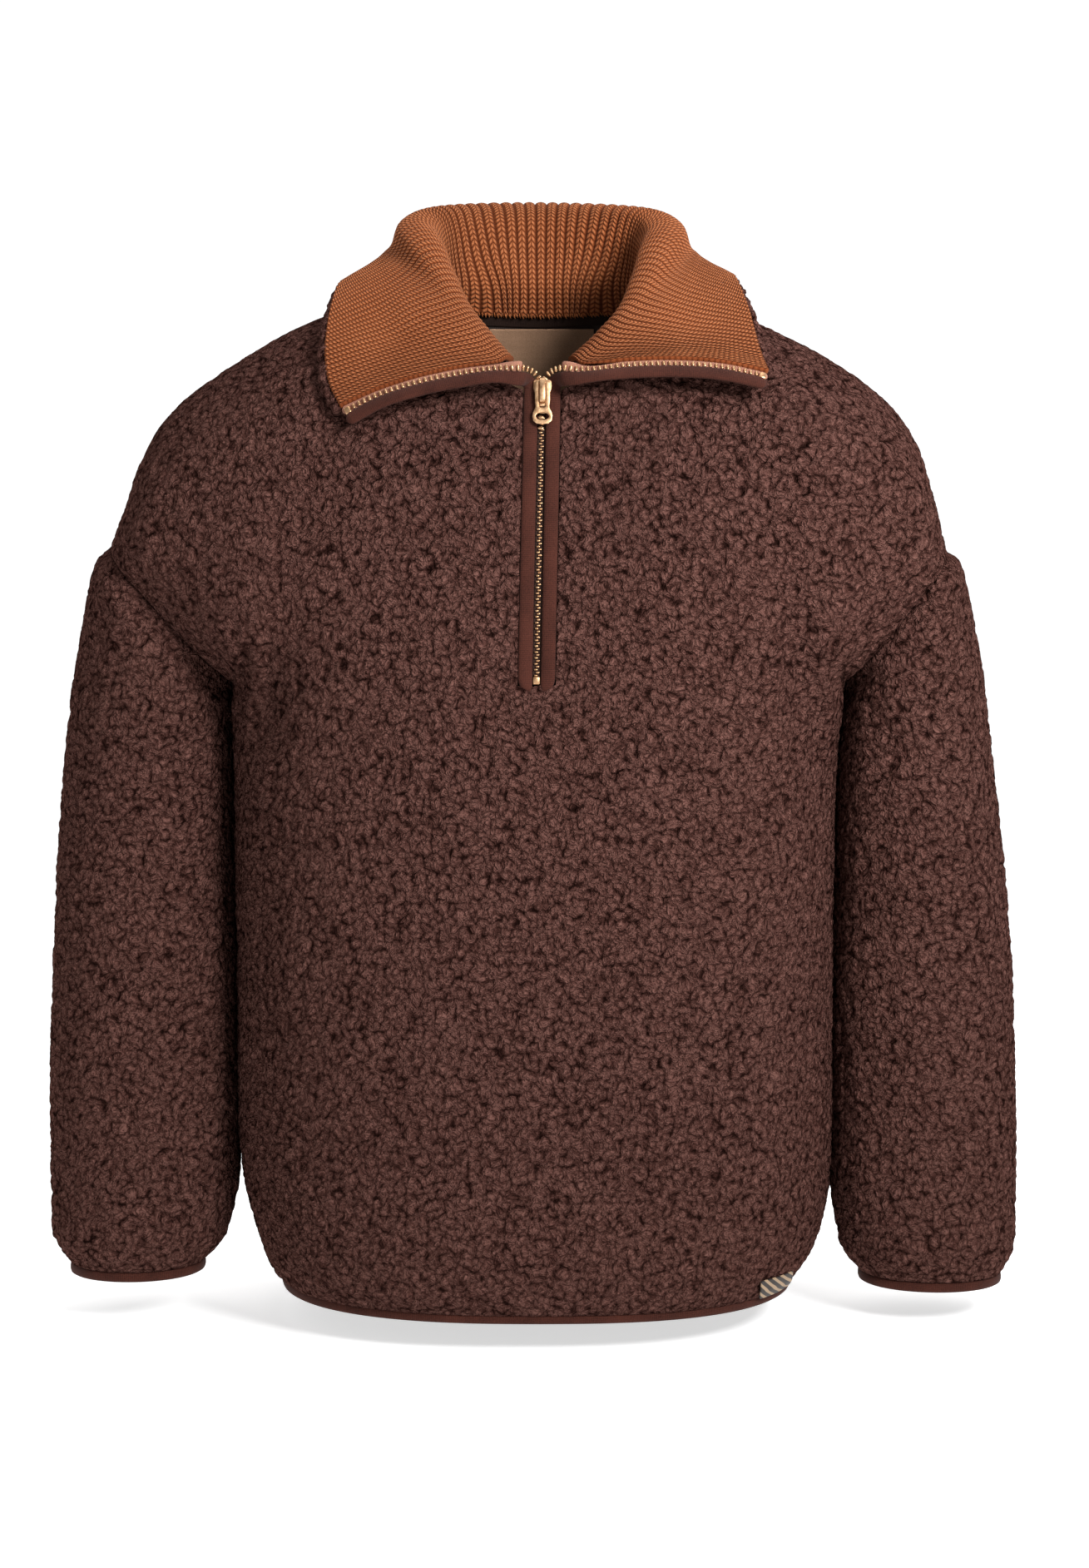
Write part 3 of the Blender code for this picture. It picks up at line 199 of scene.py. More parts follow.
# Soft folds of a sleeve: share down and turn (0 under the arm, 0.5 outside, front first) at
# each end, then half width as a share and height in metres
SLEEVE_FOLDS = {
    "left": (
        (0.10, 0.16, 0.30, 0.34, 0.050, 0.0032),
        (0.42, 0.10, 0.36, 0.34, 0.045, -0.0036),
        (0.50, 0.12, 0.46, 0.40, 0.040, 0.0034),
        (0.78, 0.20, 0.84, 0.42, 0.045, -0.0028),
        (0.40, 0.66, 0.50, 0.92, 0.050, 0.0034),
        (0.72, 0.62, 0.66, 0.86, 0.045, -0.0030),
    ),
    "right": (
        (0.12, 0.14, 0.26, 0.30, 0.050, -0.0034),
        (0.36, 0.12, 0.46, 0.36, 0.045, 0.0036),
        (0.56, 0.14, 0.50, 0.38, 0.042, -0.0034),
        (0.86, 0.16, 0.78, 0.36, 0.045, 0.0028),
        (0.34, 0.64, 0.42, 0.90, 0.050, -0.0034),
        (0.62, 0.64, 0.70, 0.88, 0.045, 0.0032),
    ),
}

# %% The collar's stations and the steps of the grids
# Collar, from the left zip edge round the neck to the right one: share of the neck seam,
# top of the roll x y z, free edge x y z, radius of the roll, outward in plan x y
COLLAR = np.array((
    (0.00, -0.0178, -0.0960, -0.0275, -0.1270, -0.1100, -0.0570, 0.0092, 0.00, -1.00),
    (0.08, -0.0330, -0.0850, -0.0100, -0.1340, -0.0960, -0.0440, 0.0098, -0.35, -0.94),
    (0.14, -0.0455, -0.0730, 0.0060, -0.1365, -0.0830, -0.0270, 0.0104, -0.62, -0.78),
    (0.20, -0.0590, -0.0500, 0.0290, -0.1370, -0.0680, -0.0080, 0.0116, -0.83, -0.55),
    (0.26, -0.0735, -0.0180, 0.0520, -0.1350, -0.0400, 0.0100, 0.0140, -0.96, -0.28),
    (0.32, -0.0830, 0.0200, 0.0650, -0.1300, 0.0000, 0.0240, 0.0155, -1.00, 0.10),
    (0.40, -0.0700, 0.0620, 0.0750, -0.1040, 0.0680, 0.0130, 0.0135, -0.70, 0.70),
    (0.50, 0.0000, 0.0920, 0.0790, 0.0000, 0.1085, 0.0000, 0.0105, 0.00, 1.00),
    (0.60, 0.0710, 0.0620, 0.0740, 0.1030, 0.0660, 0.0150, 0.0135, 0.70, 0.70),
    (0.68, 0.0835, 0.0200, 0.0635, 0.1255, 0.0000, 0.0280, 0.0155, 1.00, 0.10),
    (0.74, 0.0755, -0.0180, 0.0505, 0.1300, -0.0360, 0.0180, 0.0138, 0.96, -0.28),
    (0.80, 0.0630, -0.0510, 0.0280, 0.1340, -0.0620, 0.0040, 0.0116, 0.83, -0.55),
    (0.86, 0.0505, -0.0740, 0.0050, 0.1370, -0.0780, -0.0100, 0.0104, 0.62, -0.78),
    (0.92, 0.0355, -0.0860, -0.0120, 0.1405, -0.0900, -0.0240, 0.0098, 0.35, -0.94),
    (1.00, 0.0183, -0.0960, -0.0275, 0.1445, -0.1000, -0.0350, 0.0092, 0.00, -1.00),
))
RIBS = 96
RIB_KNIT = 0.003
PLY_GAP = 0.0003
COLLAR_FLEECE = 0.005
STAND_ROWS = 3
ROLL_ROWS = 4
FALL_ROWS = 4
COLLAR_START = 0.0215
NECK_GAP = 0.0012
COLUMNS_PER_PLY = 6

# How finely each piece of cloth is divided: columns beside the neck and out to the seam,
# rows below the underarm and beside the armhole
FRONT_COLUMNS = (4, 9)
BACK_COLUMNS = (5, 8)
BODY_ROWS = 12
ARM_ROWS = 10
SLEEVE_SHARES = (
    0.0, 0.02, 0.05, 0.09, 0.14, 0.20, 0.26, 0.32, 0.38, 0.45,
    0.52, 0.60, 0.68, 0.76, 0.84, 0.91, 0.96, 1.0,
)

# %% The zip
# Zip: bend above the slider, widths of the tape and of the bindings beside it
BEND_Z = -0.0465
BEND_RADIUS = 0.012
FORWARD_FROM = 0.0045
FLAP_START_Y = -0.1075
TEETH_OUT = 0.0013
TEETH_FROM_RIB = 0.0062
TAPE_INSIDE = 0.0053
BINDING_START = 0.0016
BINDING_WIDTH = 0.0089
BINDING_THICKNESS = 0.0026
SLIDER_X = 0.0012
HINGE_Y = -0.1018
HINGE_Z = -0.0425
HINGE_LEAN = math.radians(-18.0)
BRIDGE_GAP = 0.0014
CHAIN_HALF_WIDTH = 0.0026
CHAIN_THICKNESS = 0.0024
SLIDER_ROOM = 0.008

# Label inside the back neck and tag at the hem: from and to across, up, gap and thickness
LABEL_ACROSS = (-0.035, 0.036)
LABEL_HEIGHTS = (-0.050, -0.006)
LABEL_GAP_AND_THICKNESS = (0.0006, 0.0008)
TAG_ACROSS = (0.1417, 0.1640)
TAG_HEIGHTS = (-0.6350, -0.6205)
TAG_GAP_AND_THICKNESS = (0.0014, 0.0009)

# %% [markdown]
# Small helpers come first: a smooth curve through a table, and the shape of a section. A section
# is a superellipse, flatter across the chest than an ellipse, and the shoulders close over it like
# the lid of a chest.

# %% Reading tables
def table_value(table, column, at, key=0):
    """A smooth curve through one column of a table, read at the given keys."""
    keys = table[:, key]
    values = table[:, column]
    slopes = np.gradient(values, keys)
    at = np.clip(np.asarray(at, float), keys[0], keys[-1])
    cell = np.clip(np.searchsorted(keys, at, side="right") - 1, 0, len(keys) - 2)
    step = keys[cell + 1] - keys[cell]
    t = (at - keys[cell]) / step
    rise = values[cell + 1] - values[cell]
    return (
        values[cell]
        + rise * t * t * (3 - 2 * t)
        + step * t * (1 - t) * (slopes[cell] * (1 - t) - slopes[cell + 1] * t)
    )


def smooth_step(value, low, high):
    share = np.clip((value - low) / (high - low), 0.0, 1.0)
    return share * share * (3 - 2 * share)


def unit(vectors):
    length = np.linalg.norm(vectors, axis=-1, keepdims=True)
    return vectors / np.maximum(length, 1e-12)


def dome(share):
    """A quarter circle: 0 at the shoulder line, 1 once past the rounding."""
    share = np.clip(share, 0.0, 1.0)
    return np.sqrt(np.maximum(0.0, 1.0 - (1.0 - share) ** 2))

# %% The torso's form
def shoulder_height(out, side):
    height = table_value(SHOULDER, 1 if side == "left" else 2, out)
    rise = BACK_RISE * np.clip(1.0 - (out / NECK_HALF_WIDTH) ** 2, 0.0, 1.0)
    return height + rise


def torso_depth(out, height, side, face):
    """How far the cloth stands from the plane y = 0, front or back."""
    column = 3 if face == "front" else 4
    depth = table_value(TORSO, column, height)
    arm = ARM_FRONT if face == "front" else ARM_BACK
    low_out, low_z = UNDERARM[side]
    top_out, top_z = SHOULDER_END[side]
    share = np.clip((height - low_z) / (top_z - low_z), 0.0, 1.0)
    seam_out = low_out + (top_out - low_out) * share
    seam_depth = arm * dome(2 * share)
    ratio = np.clip(seam_depth / depth, 0.0, 0.98)
    open_reach = seam_out / (1 - ratio**SQUARENESS) ** (1 / SQUARENESS)
    closed_reach = table_value(TORSO, 1 if side == "left" else 2, height)
    reach = np.where(height > low_z, open_reach, closed_reach)
    section = (1 - np.clip(out / reach, 0.0, 1.0) ** SQUARENESS) ** (1 / SQUARENESS)
    drop = shoulder_height(out, side) - height
    return depth * section * dome(drop / SHOULDER_ROUNDING)


def armhole_point(side, share, face):
    """A point of the armhole seam: share 0 is the underarm, 1 the shoulder end."""
    low_out, low_z = UNDERARM[side]
    top_out, top_z = SHOULDER_END[side]
    out = low_out + (top_out - low_out) * share
    height = low_z + (top_z - low_z) * share
    depth = torso_depth(out, height, side, face)
    sign = -1.0 if face == "front" else 1.0
    return np.stack((SIDES[side] * out, sign * depth, height + 0 * depth), axis=-1)


def armhole_shares(count):
    return (1 - np.cos(np.pi * np.arange(count + 1) / count)) / 2


def armhole_inner(side, shares, face):
    """The seam's inner line: the outer one moved in within the plane of the seam."""
    fine = armhole_shares(400)
    ring = armhole_point(side, fine, face)
    ends = ring[-1] - ring[0]
    axis = ends / np.linalg.norm(ends)
    along = (ring - ring[0]) @ axis
    depth = ring[:, 1]
    tangent_a = np.gradient(along)
    tangent_y = np.gradient(depth)
    tangent_a[0] = tangent_a[-1] = 0.0
    sign = -1.0 if face == "front" else 1.0
    normal_a = tangent_y * sign
    normal_y = -tangent_a * sign
    length = np.hypot(normal_a, normal_y)
    normal_a = normal_a / length
    normal_y = normal_y / length
    move_a = np.interp(shares, fine, normal_a)
    move_y = np.interp(shares, fine, normal_y)
    points = armhole_point(side, shares, face)
    moved = points + FLEECE * move_a[:, None] * axis
    moved[:, 1] += FLEECE * move_y
    return moved


def seam_normal(side):
    """Across the armhole seam, towards the chest."""
    low_out, low_z = UNDERARM[side]
    top_out, top_z = SHOULDER_END[side]
    normal = np.array((-SIDES[side] * (top_z - low_z), 0.0, top_out - low_out))
    return normal / np.linalg.norm(normal)


def neckline_height(out, face):
    low = FRONT_NECK_Z if face == "front" else BACK_NECK_Z
    power = 1.48 if face == "front" else 1.6
    share = np.clip(out / NECK_HALF_WIDTH, 0.0, 1.0)
    return low + (float(SHOULDER[1, 1]) - low) * share**power


def ridge(u, v, folds, scale_u=1.0, scale_v=1.0):
    """Sum of soft ridges, each one along a line from (u0, v0) to (u1, v1)."""
    total = np.zeros(np.broadcast(u, v).shape)
    for u0, v0, u1, v1, half_width, height in folds:
        du = (u1 - u0) * scale_u
        dv = (v1 - v0) * scale_v
        pu = (u - u0) * scale_u
        pv = (v - v0) * scale_v
        along = np.clip((pu * du + pv * dv) / (du * du + dv * dv), 0.0, 1.0)
        away = np.hypot(pu - along * du, pv - along * dv)
        fade = 0.35 + 0.65 * np.sin(np.pi * np.clip(along, 0.02, 0.98))
        total = total + height * fade * np.exp(-((away / half_width) ** 2))
    return total

# %% The grid of a panel
def panel_half(side, face, columns, body_rows, arm_rows, folds):
    """One half of a panel, from its middle line out to the seam, hem first."""
    low_out, low_z = UNDERARM[side]
    top_out, top_z = SHOULDER_END[side]
    start = SLOT if face == "front" else 0.0
    first = HEM_Z + BINDING_HEIGHT + 2 * SEAM
    near_hem = (0.0, 0.0065, 0.0160, 0.0300)
    near_arm = (0.0150, 0.0055, 0.0)
    between = np.linspace(near_hem[-1], low_z - first - near_arm[0], body_rows - 4)
    lower = first + np.concatenate((near_hem[:-1], between, low_z - first - np.array(near_arm[1:])))
    shares = armhole_shares(arm_rows)
    upper = low_z + (top_z - low_z) * shares
    side_z = np.concatenate((lower, upper[1:]))
    edge = np.concatenate((
        table_value(TORSO, 1 if side == "left" else 2, lower),
        (low_out + (top_out - low_out) * shares)[1:],
    ))
    neck, rest = columns
    round_neck = (NECK_HALF_WIDTH - start) * np.sin(np.linspace(0.0, np.pi / 2, neck + 1))
    neck_turns = np.arcsin(round_neck / (top_out - start)) * 2 / np.pi
    turns = np.concatenate((neck_turns, np.linspace(neck_turns[-1], 1.0, rest + 1)[1:]))
    spread = np.sin(turns * np.pi / 2)
    rise = (side_z - first) / (top_z - first)
    top = start + (top_out - start) * spread
    top_height = np.where(
        np.arange(len(turns)) < neck,
        neckline_height(top, face),
        shoulder_height(top, side),
    )
    out = start + (edge[:, None] - start) * spread[None, :]
    height = first + (top_height[None, :] - first) * rise[:, None]
    depth = torso_depth(out, height, side, face)
    depth[-1, neck:] = 0.0
    depth[: body_rows + 1, -1] = 0.0
    share_out = SIDES[side] * spread[None, :] + 0 * height
    share_up = rise[:, None] + 0 * height
    bump = ridge(share_out, share_up, folds, 0.2, 0.6)
    hold = smooth_step(1 - spread, 0.0, 0.06)[None, :]
    hold = hold * smooth_step(1 - rise, 0.0, 0.06)[:, None]
    hold = hold * smooth_step(rise, 0.0, 0.04)[:, None]
    sign = -1.0 if face == "front" else 1.0
    points = np.stack((SIDES[side] * out, sign * depth, height), axis=-1)
    points[body_rows:, -1] = armhole_point(side, shares, face)
    points[-1, -1, 1] = 0.0
    return points, bump * hold


def grid_normals(points, mirror_left, mirror_right, mirror_top):
    """Outward unit normals, with the cloth taken on past its side and top seams."""
    flip = np.array((1.0, -1.0, 1.0))
    left = points[:, 1:2] * flip if mirror_left else 2 * points[:, :1] - points[:, 1:2]
    right = points[:, -2:-1] * flip if mirror_right else 2 * points[:, -1:] - points[:, -2:-1]
    wide = np.concatenate((left, points, right), axis=1)
    past = 2 * wide[-1:] - wide[-2:-1]
    past = np.where(mirror_top[None, :, None], wide[-2:-1] * flip, past)
    before = 2 * wide[:1] - wide[1:2]
    tall = np.concatenate((before, wide, past), axis=0)
    across = tall[1:-1, 2:] - tall[1:-1, :-2]
    up = tall[2:, 1:-1] - tall[:-2, 1:-1]
    return unit(np.cross(across, up))


def underarm_lean(side, drop):
    """Direction through the cloth at the side seam, turning over at the underarm."""
    low_out, low_z = UNDERARM[side]
    top_out, top_z = SHOULDER_END[side]
    most = np.pi - np.arctan2(top_z - low_z, top_out - low_out)
    angle = most * (1 - drop / UNDERARM_TURN) ** 2
    return np.array((-SIDES[side] * np.cos(angle), 0.0, np.sin(angle)))


def panel(face, columns, body_rows, arm_rows, folds):
    """A whole panel: its outer grid and its inner grid, rows from the hem up."""
    halves = {}
    for side in SIDES:
        halves[side] = panel_half(side, face, columns, body_rows, arm_rows, folds)
    left, left_bump = halves["left"]
    right, right_bump = halves["right"]
    skip = 0 if face == "front" else 1
    outer = np.concatenate((left[:, ::-1], right[:, skip:]), axis=1)
    bump = np.concatenate((left_bump[:, ::-1], right_bump[:, skip:]), axis=1)
    centre = (outer.shape[1] - 1) / 2
    reach = columns[0] + (0.5 if face == "front" else 0.0)
    shoulder = np.abs(np.arange(-1, outer.shape[1] + 1) - centre) >= reach - 0.01
    turn = 1.0 if face == "front" else -1.0
    outer = outer + turn * grid_normals(outer, True, True, shoulder) * bump[:, :, None]
    inner = outer - turn * FLEECE * grid_normals(outer, True, True, shoulder)
    shares = armhole_shares(arm_rows)
    for side, column in (("left", 0), ("right", -1)):
        inner[body_rows:, column] = armhole_inner(side, shares, face)
        for row in range(body_rows):
            drop = UNDERARM[side][1] - outer[row, column, 2]
            if drop < UNDERARM_TURN:
                inner[row, column] = outer[row, column] + FLEECE * underarm_lean(side, drop)
        outer[body_rows:, column] += seam_normal(side) * SEAM
        inner[body_rows:, column] += seam_normal(side) * SEAM
    for grid in (outer, inner):
        grid[: body_rows + 1, 0, 1] = -turn * SEAM
        grid[: body_rows + 1, -1, 1] = -turn * SEAM
        grid[-1, shoulder[1:-1], 1] = -turn * SEAM
    return outer, inner

# %% The grid of a sleeve
def tube_normals(points, side):
    """Outward unit normals of closed rings, the first ring being the upper one."""
    around = np.roll(points, -1, axis=1) - np.roll(points, 1, axis=1)
    first = 2 * points[:1] - points[1:2]
    last = 2 * points[-1:] - points[-2:-1]
    tall = np.concatenate((first, points, last))
    down = tall[2:] - tall[:-2]
    normals = unit(np.cross(around, down))
    return -normals if side == "right" else normals


def sleeve(side, shares_down, arm_rows):
    """A sleeve tube: outer and inner rings, starting under the arm and turning by the front."""
    shares = armhole_shares(arm_rows)
    front = armhole_point(side, shares, "front")
    back = armhole_point(side, shares, "back")
    first = np.concatenate((front[:-1], back[:0:-1]))
    turn = np.arange(2 * arm_rows) / (2 * arm_rows)
    share = (1 - np.cos(2 * np.pi * turn)) / 2
    down = np.asarray(shares_down)
    shift = 0 if side == "left" else 2
    low_z = table_value(SLEEVE, 1, down)[:, None]
    high_z = table_value(SLEEVE, 2, down)[:, None]
    low_out = table_value(SLEEVE, 3 + shift, down)[:, None]
    high_out = table_value(SLEEVE, 4 + shift, down)[:, None]
    half = table_value(SLEEVE, 7, down)[:, None]
    middle = table_value(SLEEVE, 8, down)[:, None]
    out = low_out + (high_out - low_out) * share
    height = low_z + (high_z - low_z) * share - CUFF_DROP[side] * smooth_step(down, 0.3, 1.0)[:, None]
    swell = np.sin(2 * np.pi * turn)
    oval = middle - half * np.sign(swell) * np.abs(swell) ** 0.92
    settle = smooth_step(down, 0.0, 0.10)[:, None]
    seam_y = first[None, :, 1] * (half / SLEEVE[0, 7])
    outer = np.stack((SIDES[side] * out, seam_y * (1 - settle) + oval * settle, height), axis=-1)
    outer[0] = first
    bump = ridge(down[:, None], turn[None, :], SLEEVE_FOLDS[side])
    bump = bump * smooth_step(down, 0.03, 0.15)[:, None] * smooth_step(1 - down, 0.0, 0.08)[:, None]
    outer = outer + tube_normals(outer, side) * bump[:, :, None]
    inner = outer - FLEECE * tube_normals(outer, side)
    front = armhole_inner(side, shares, "front")
    back = armhole_inner(side, shares, "back")
    inner[0] = np.concatenate((front[:-1], back[:0:-1]))
    outer[0] -= seam_normal(side) * SEAM
    inner[0] -= seam_normal(side) * SEAM
    return outer, inner

# %% The neck and the collar
def zip_centre(height):
    """The zip leans a little: its middle at each height."""
    return 0.0010 - 0.0036 * np.clip((-0.05 - np.asarray(height)) / 0.182, 0.0, 1.0)


def lean(points):
    """Moves points beside the zip across with it."""
    moved = points.copy()
    moved[..., 0] += zip_centre(points[..., 2]) * np.exp(-((points[..., 0] / 0.06) ** 2))
    return moved


def body_level(points):
    """Nought on the torso's surface and more than nought outside it."""
    out = np.abs(points[..., 0])
    values = []
    for side in SIDES:
        for face in ("front", "back"):
            column = 3 if face == "front" else 4
            depth = table_value(TORSO, column, points[..., 2])
            arm = ARM_FRONT if face == "front" else ARM_BACK
            top_out = SHOULDER_END[side][0]
            ratio = np.clip(arm / depth, 0.0, 0.98)
            reach = top_out / (1 - ratio**SQUARENESS) ** (1 / SQUARENESS)
            section = (1 - np.clip(out / reach, 0.0, 0.95) ** SQUARENESS) ** (1 / SQUARENESS)
            share = (shoulder_height(out, side) - points[..., 2]) / SHOULDER_ROUNDING
            values.append((points[..., 1] / (depth * section)) ** 2 + (1 - np.minimum(share, 1)) ** 2 - 1)
    left = np.where(points[..., 1] < 0, values[0], values[1])
    right = np.where(points[..., 1] < 0, values[2], values[3])
    return np.where(points[..., 0] < 0, left, right)


def clear_of_body(points, distance, share):
    """Moves points out until they stand this far from the torso; share fades the move."""
    step = 0.0005
    for _ in range(4):
        slope = np.stack(
            [
                (body_level(points + step * axis) - body_level(points - step * axis)) / (2 * step)
                for axis in np.eye(3)
            ],
            axis=-1,
        )
        steep = np.linalg.norm(slope, axis=-1, keepdims=True)
        level = body_level(points)[..., None] / np.maximum(steep, 1e-9)
        move = np.clip(distance - level, 0.0, 0.02)
        points = points + slope / np.maximum(steep, 1e-9) * move * share[..., None]
    return points


def neckline(front, back, front_inner, back_inner):
    """The neck seam from the left zip edge to the right one.

    Gives outer points, outward normals and the direction in which the cloth would run on.
    """
    count = FRONT_COLUMNS[0]
    middle = front.shape[1] // 2
    behind = back.shape[1] // 2
    left = np.arange(middle - 1, middle - 2 - count, -1)
    right = np.arange(middle + count, middle - 1, -1)
    across = np.arange(behind - BACK_COLUMNS[0], behind + BACK_COLUMNS[0] + 1)
    points = np.concatenate((front[-1, left[:-1]], back[-1, across], front[-1, right[1:]]))
    under = np.concatenate((
        front_inner[-1, left[:-1]], back_inner[-1, across], front_inner[-1, right[1:]],
    ))
    normal = unit(points - under)
    along = unit(np.gradient(points, axis=0))
    onward = unit(np.cross(along, normal))
    inward = points * np.array((-1.0, -1.0, 0.0)) + np.array((0.0, 0.0, 0.06))
    onward *= np.sign(np.sum(onward * inward, axis=1, keepdims=True))
    return points, normal, onward


def hermite(start, start_slope, end, end_slope, t):
    a = 2 * t**3 - 3 * t**2 + 1
    b = t**3 - 2 * t**2 + t
    c = -2 * t**3 + 3 * t**2
    d = t**3 - t**2
    return a * start + b * start_slope + c * end + d * end_slope


def sheet_normals(points):
    across = np.gradient(points, axis=1)
    down = np.gradient(points, axis=0)
    return unit(np.cross(across, down))


def collar_surface(shares, seam):
    """The rib side of the collar: one row of points at each step from the neck to the edge."""
    points, normal, upward = seam
    length = np.concatenate(((0.0,), np.cumsum(np.linalg.norm(np.diff(points, axis=0), axis=1))))
    length = length / length[-1]
    place = COLLAR_START + (1 - 2 * COLLAR_START) * shares
    coarse = place[::COLUMNS_PER_PLY].copy()
    for corner in length[1:-1]:
        coarse[1 + np.argmin(np.abs(coarse[1:-1] - corner))] = corner
    place = np.interp(shares, shares[::COLUMNS_PER_PLY], coarse)
    at = np.stack([np.interp(place, length, points[:, axis]) for axis in range(3)], axis=1)
    out = unit(np.stack([np.interp(place, length, normal[:, axis]) for axis in range(3)], axis=1))
    up = unit(np.stack([np.interp(place, length, upward[:, axis]) for axis in range(3)], axis=1))
    stack = RIB_KNIT + PLY_GAP + COLLAR_FLEECE
    foot = at + NECK_GAP * up - stack * out
    top = np.stack([table_value(COLLAR, column, shares) for column in (1, 2, 3)], axis=1)
    edge = np.stack([table_value(COLLAR, column, shares) for column in (4, 5, 6)], axis=1)
    radius = table_value(COLLAR, 7, shares)[:, None]
    plan = np.stack((table_value(COLLAR, 8, shares), table_value(COLLAR, 9, shares), 0 * shares), axis=1)
    along = unit(np.gradient(top, axis=0))
    high = np.array((0.0, 0.0, 1.0))
    nearest = np.minimum(shares, 1 - shares)[:, None]
    flat = 1 - smooth_step(nearest, 0.10, 0.27)
    plan = unit(plan * (1 - flat) + out * flat)
    plan = unit(plan - along * np.sum(plan * along, axis=1, keepdims=True))
    crown = np.cross(plan, along)
    crown = crown * np.sign(crown[:, 2:3])
    centre = top - radius * crown
    inside = centre - radius * plan
    outside = centre + radius * plan
    rows = []
    reach = np.linalg.norm(inside - foot, axis=1, keepdims=True)
    for step in range(STAND_ROWS):
        rows.append(hermite(foot, up * reach, inside, crown * reach, step / STAND_ROWS))
    for step in range(ROLL_ROWS):
        angle = math.pi * step / ROLL_ROWS
        rows.append(centre - math.cos(angle) * radius * plan + math.sin(angle) * radius * crown)
    fall = edge - outside
    reach = np.linalg.norm(fall, axis=1, keepdims=True)
    near_zip = 1 - smooth_step(np.minimum(shares, 1 - shares), 0.0, 0.16)[:, None]
    start = unit(-crown * (0.45 - 0.35 * near_zip) + (0.8 + 0.25 * near_zip) * fall / reach)
    start = unit(start + 0.20 * near_zip * high)
    end = unit(fall / reach - 0.25 * high * near_zip)
    for step in range(FALL_ROWS + 1):
        t = step / FALL_ROWS
        row = hermite(outside, start * reach, edge, end * reach, t)
        share = smooth_step(np.full(len(shares), t), -0.05, 0.15)
        rows.append(clear_of_body(row, stack + 0.0016, share))
    rows = np.stack(rows)
    normals = sheet_normals(rows)
    normals = normals * -np.sign(normals[0, len(shares) // 2, 1])
    settle = smooth_step(nearest, 0.04, 0.12)
    for step in range(STAND_ROWS):
        share = step / STAND_ROWS * settle
        normals[step] = unit(normals[step] * share - out * (1 - share))
    for step in range(ROLL_ROWS + 1):
        angle = math.pi * step / ROLL_ROWS
        normals[STAND_ROWS + step] = math.sin(angle) * crown - math.cos(angle) * plan
    return rows, normals

# %% The line of the zip
def zip_line(side, collar, down_rows=10, bend_rows=5):
    """The line of the teeth from the zip's end up to the slider and out along the flap.

    Gives points, the direction across towards the teeth's free side, and facing normals.
    """
    sign = SIDES[side]
    low = np.linspace(ZIP_END_Z, BEND_Z, down_rows + 1)
    lip = torso_depth(np.full(len(low), SLOT), low, side, "front")
    straight = np.stack((zip_centre(low) + sign * TEETH_OUT, -lip + 0.0005, low), axis=1)
    turn = np.linspace(0.0, np.pi / 2, bend_rows + 1)[1:]
    bend_out = TEETH_OUT + BEND_RADIUS * (1 - np.cos(turn))
    bend_end = TEETH_OUT + BEND_RADIUS
    forward = np.interp(bend_out, (FORWARD_FROM, bend_end), (straight[-1, 1], FLAP_START_Y))
    corner = np.stack((
        zip_centre(BEND_Z) + sign * bend_out,
        forward,
        BEND_Z + BEND_RADIUS * np.sin(turn),
    ), axis=1)
    flap = collar[STAND_ROWS + ROLL_ROWS :]
    column = 0 if side == "left" else -1
    beside = 3 if side == "left" else -4
    edge = flap[:, column]
    away = unit(edge - flap[:, beside])
    ahead = unit(np.gradient(edge, axis=0))
    face = unit(np.cross(away, ahead))
    face = face * -np.sign(face[:, 1:2])
    away = np.cross(ahead, face)
    away = away * -np.sign(away[:, 2:3])
    teeth = edge + away * TEETH_FROM_RIB - 0.0006 * face
    points = np.concatenate((straight, corner, teeth))
    across = np.concatenate((
        np.tile((-sign, 0.0, 0.0), (len(straight), 1)),
        np.stack((-sign * np.cos(turn), 0 * turn, np.sin(turn)), axis=1),
        -away,
    ))
    ahead = unit(np.gradient(points, axis=0))
    across = unit(across - ahead * np.sum(across * ahead, axis=1, keepdims=True))
    normal = unit(np.cross(across, ahead)) * (1.0 if side == "left" else -1.0)
    return points, across, normal


def sample_sheet(grid, across, heights):
    """Points on a grid's surface at the given x across and z down its rows."""
    found = []
    for height in heights:
        row_points = []
        for x in across:
            column = np.array([
                (np.interp(x, row[:, 0], row[:, 1]), np.interp(x, row[:, 0], row[:, 2]))
                for row in grid
            ])
            row_points.append((x, np.interp(height, column[:, 1], column[:, 0]), height))
        found.append(row_points)
    return np.array(found)


def oval(centre_x, centre_z, half_x, half_z, count=20, power=1.0):
    ring = []
    for index in range(count):
        angle = 2 * math.pi * index / count
        c = math.cos(angle)
        s = math.sin(angle)
        ring.append((
            centre_x + half_x * math.copysign(abs(c) ** power, c),
            centre_z + half_z * math.copysign(abs(s) ** power, s),
        ))
    return ring

# %% [markdown]
# The solids need few points, the cloth that is seen needs many. Each coarse grid is read again at
# closer places along a smooth curve through its points, so the fine cloth has the same form.

# %% Finer grids
def keys_along(grid, axis):
    """How far along an axis each row or column of a grid lies, on average."""
    gaps = np.linalg.norm(np.diff(grid, axis=axis), axis=2).mean(axis=1 - axis)
    return np.concatenate(((0.0,), np.cumsum(gaps)))


def places_between(keys, spacing, stops=()):
    """Places about this far apart from end to end that also fall on the stops."""
    marks = [keys[0], *[keys[stop] for stop in stops], keys[-1]]
    places = [np.array(marks[:1])]
    for low, high in zip(marks[:-1], marks[1:]):
        count = max(1, round((high - low) / spacing))
        places.append(np.linspace(low, high, count + 1)[1:])
    return np.concatenate(places)


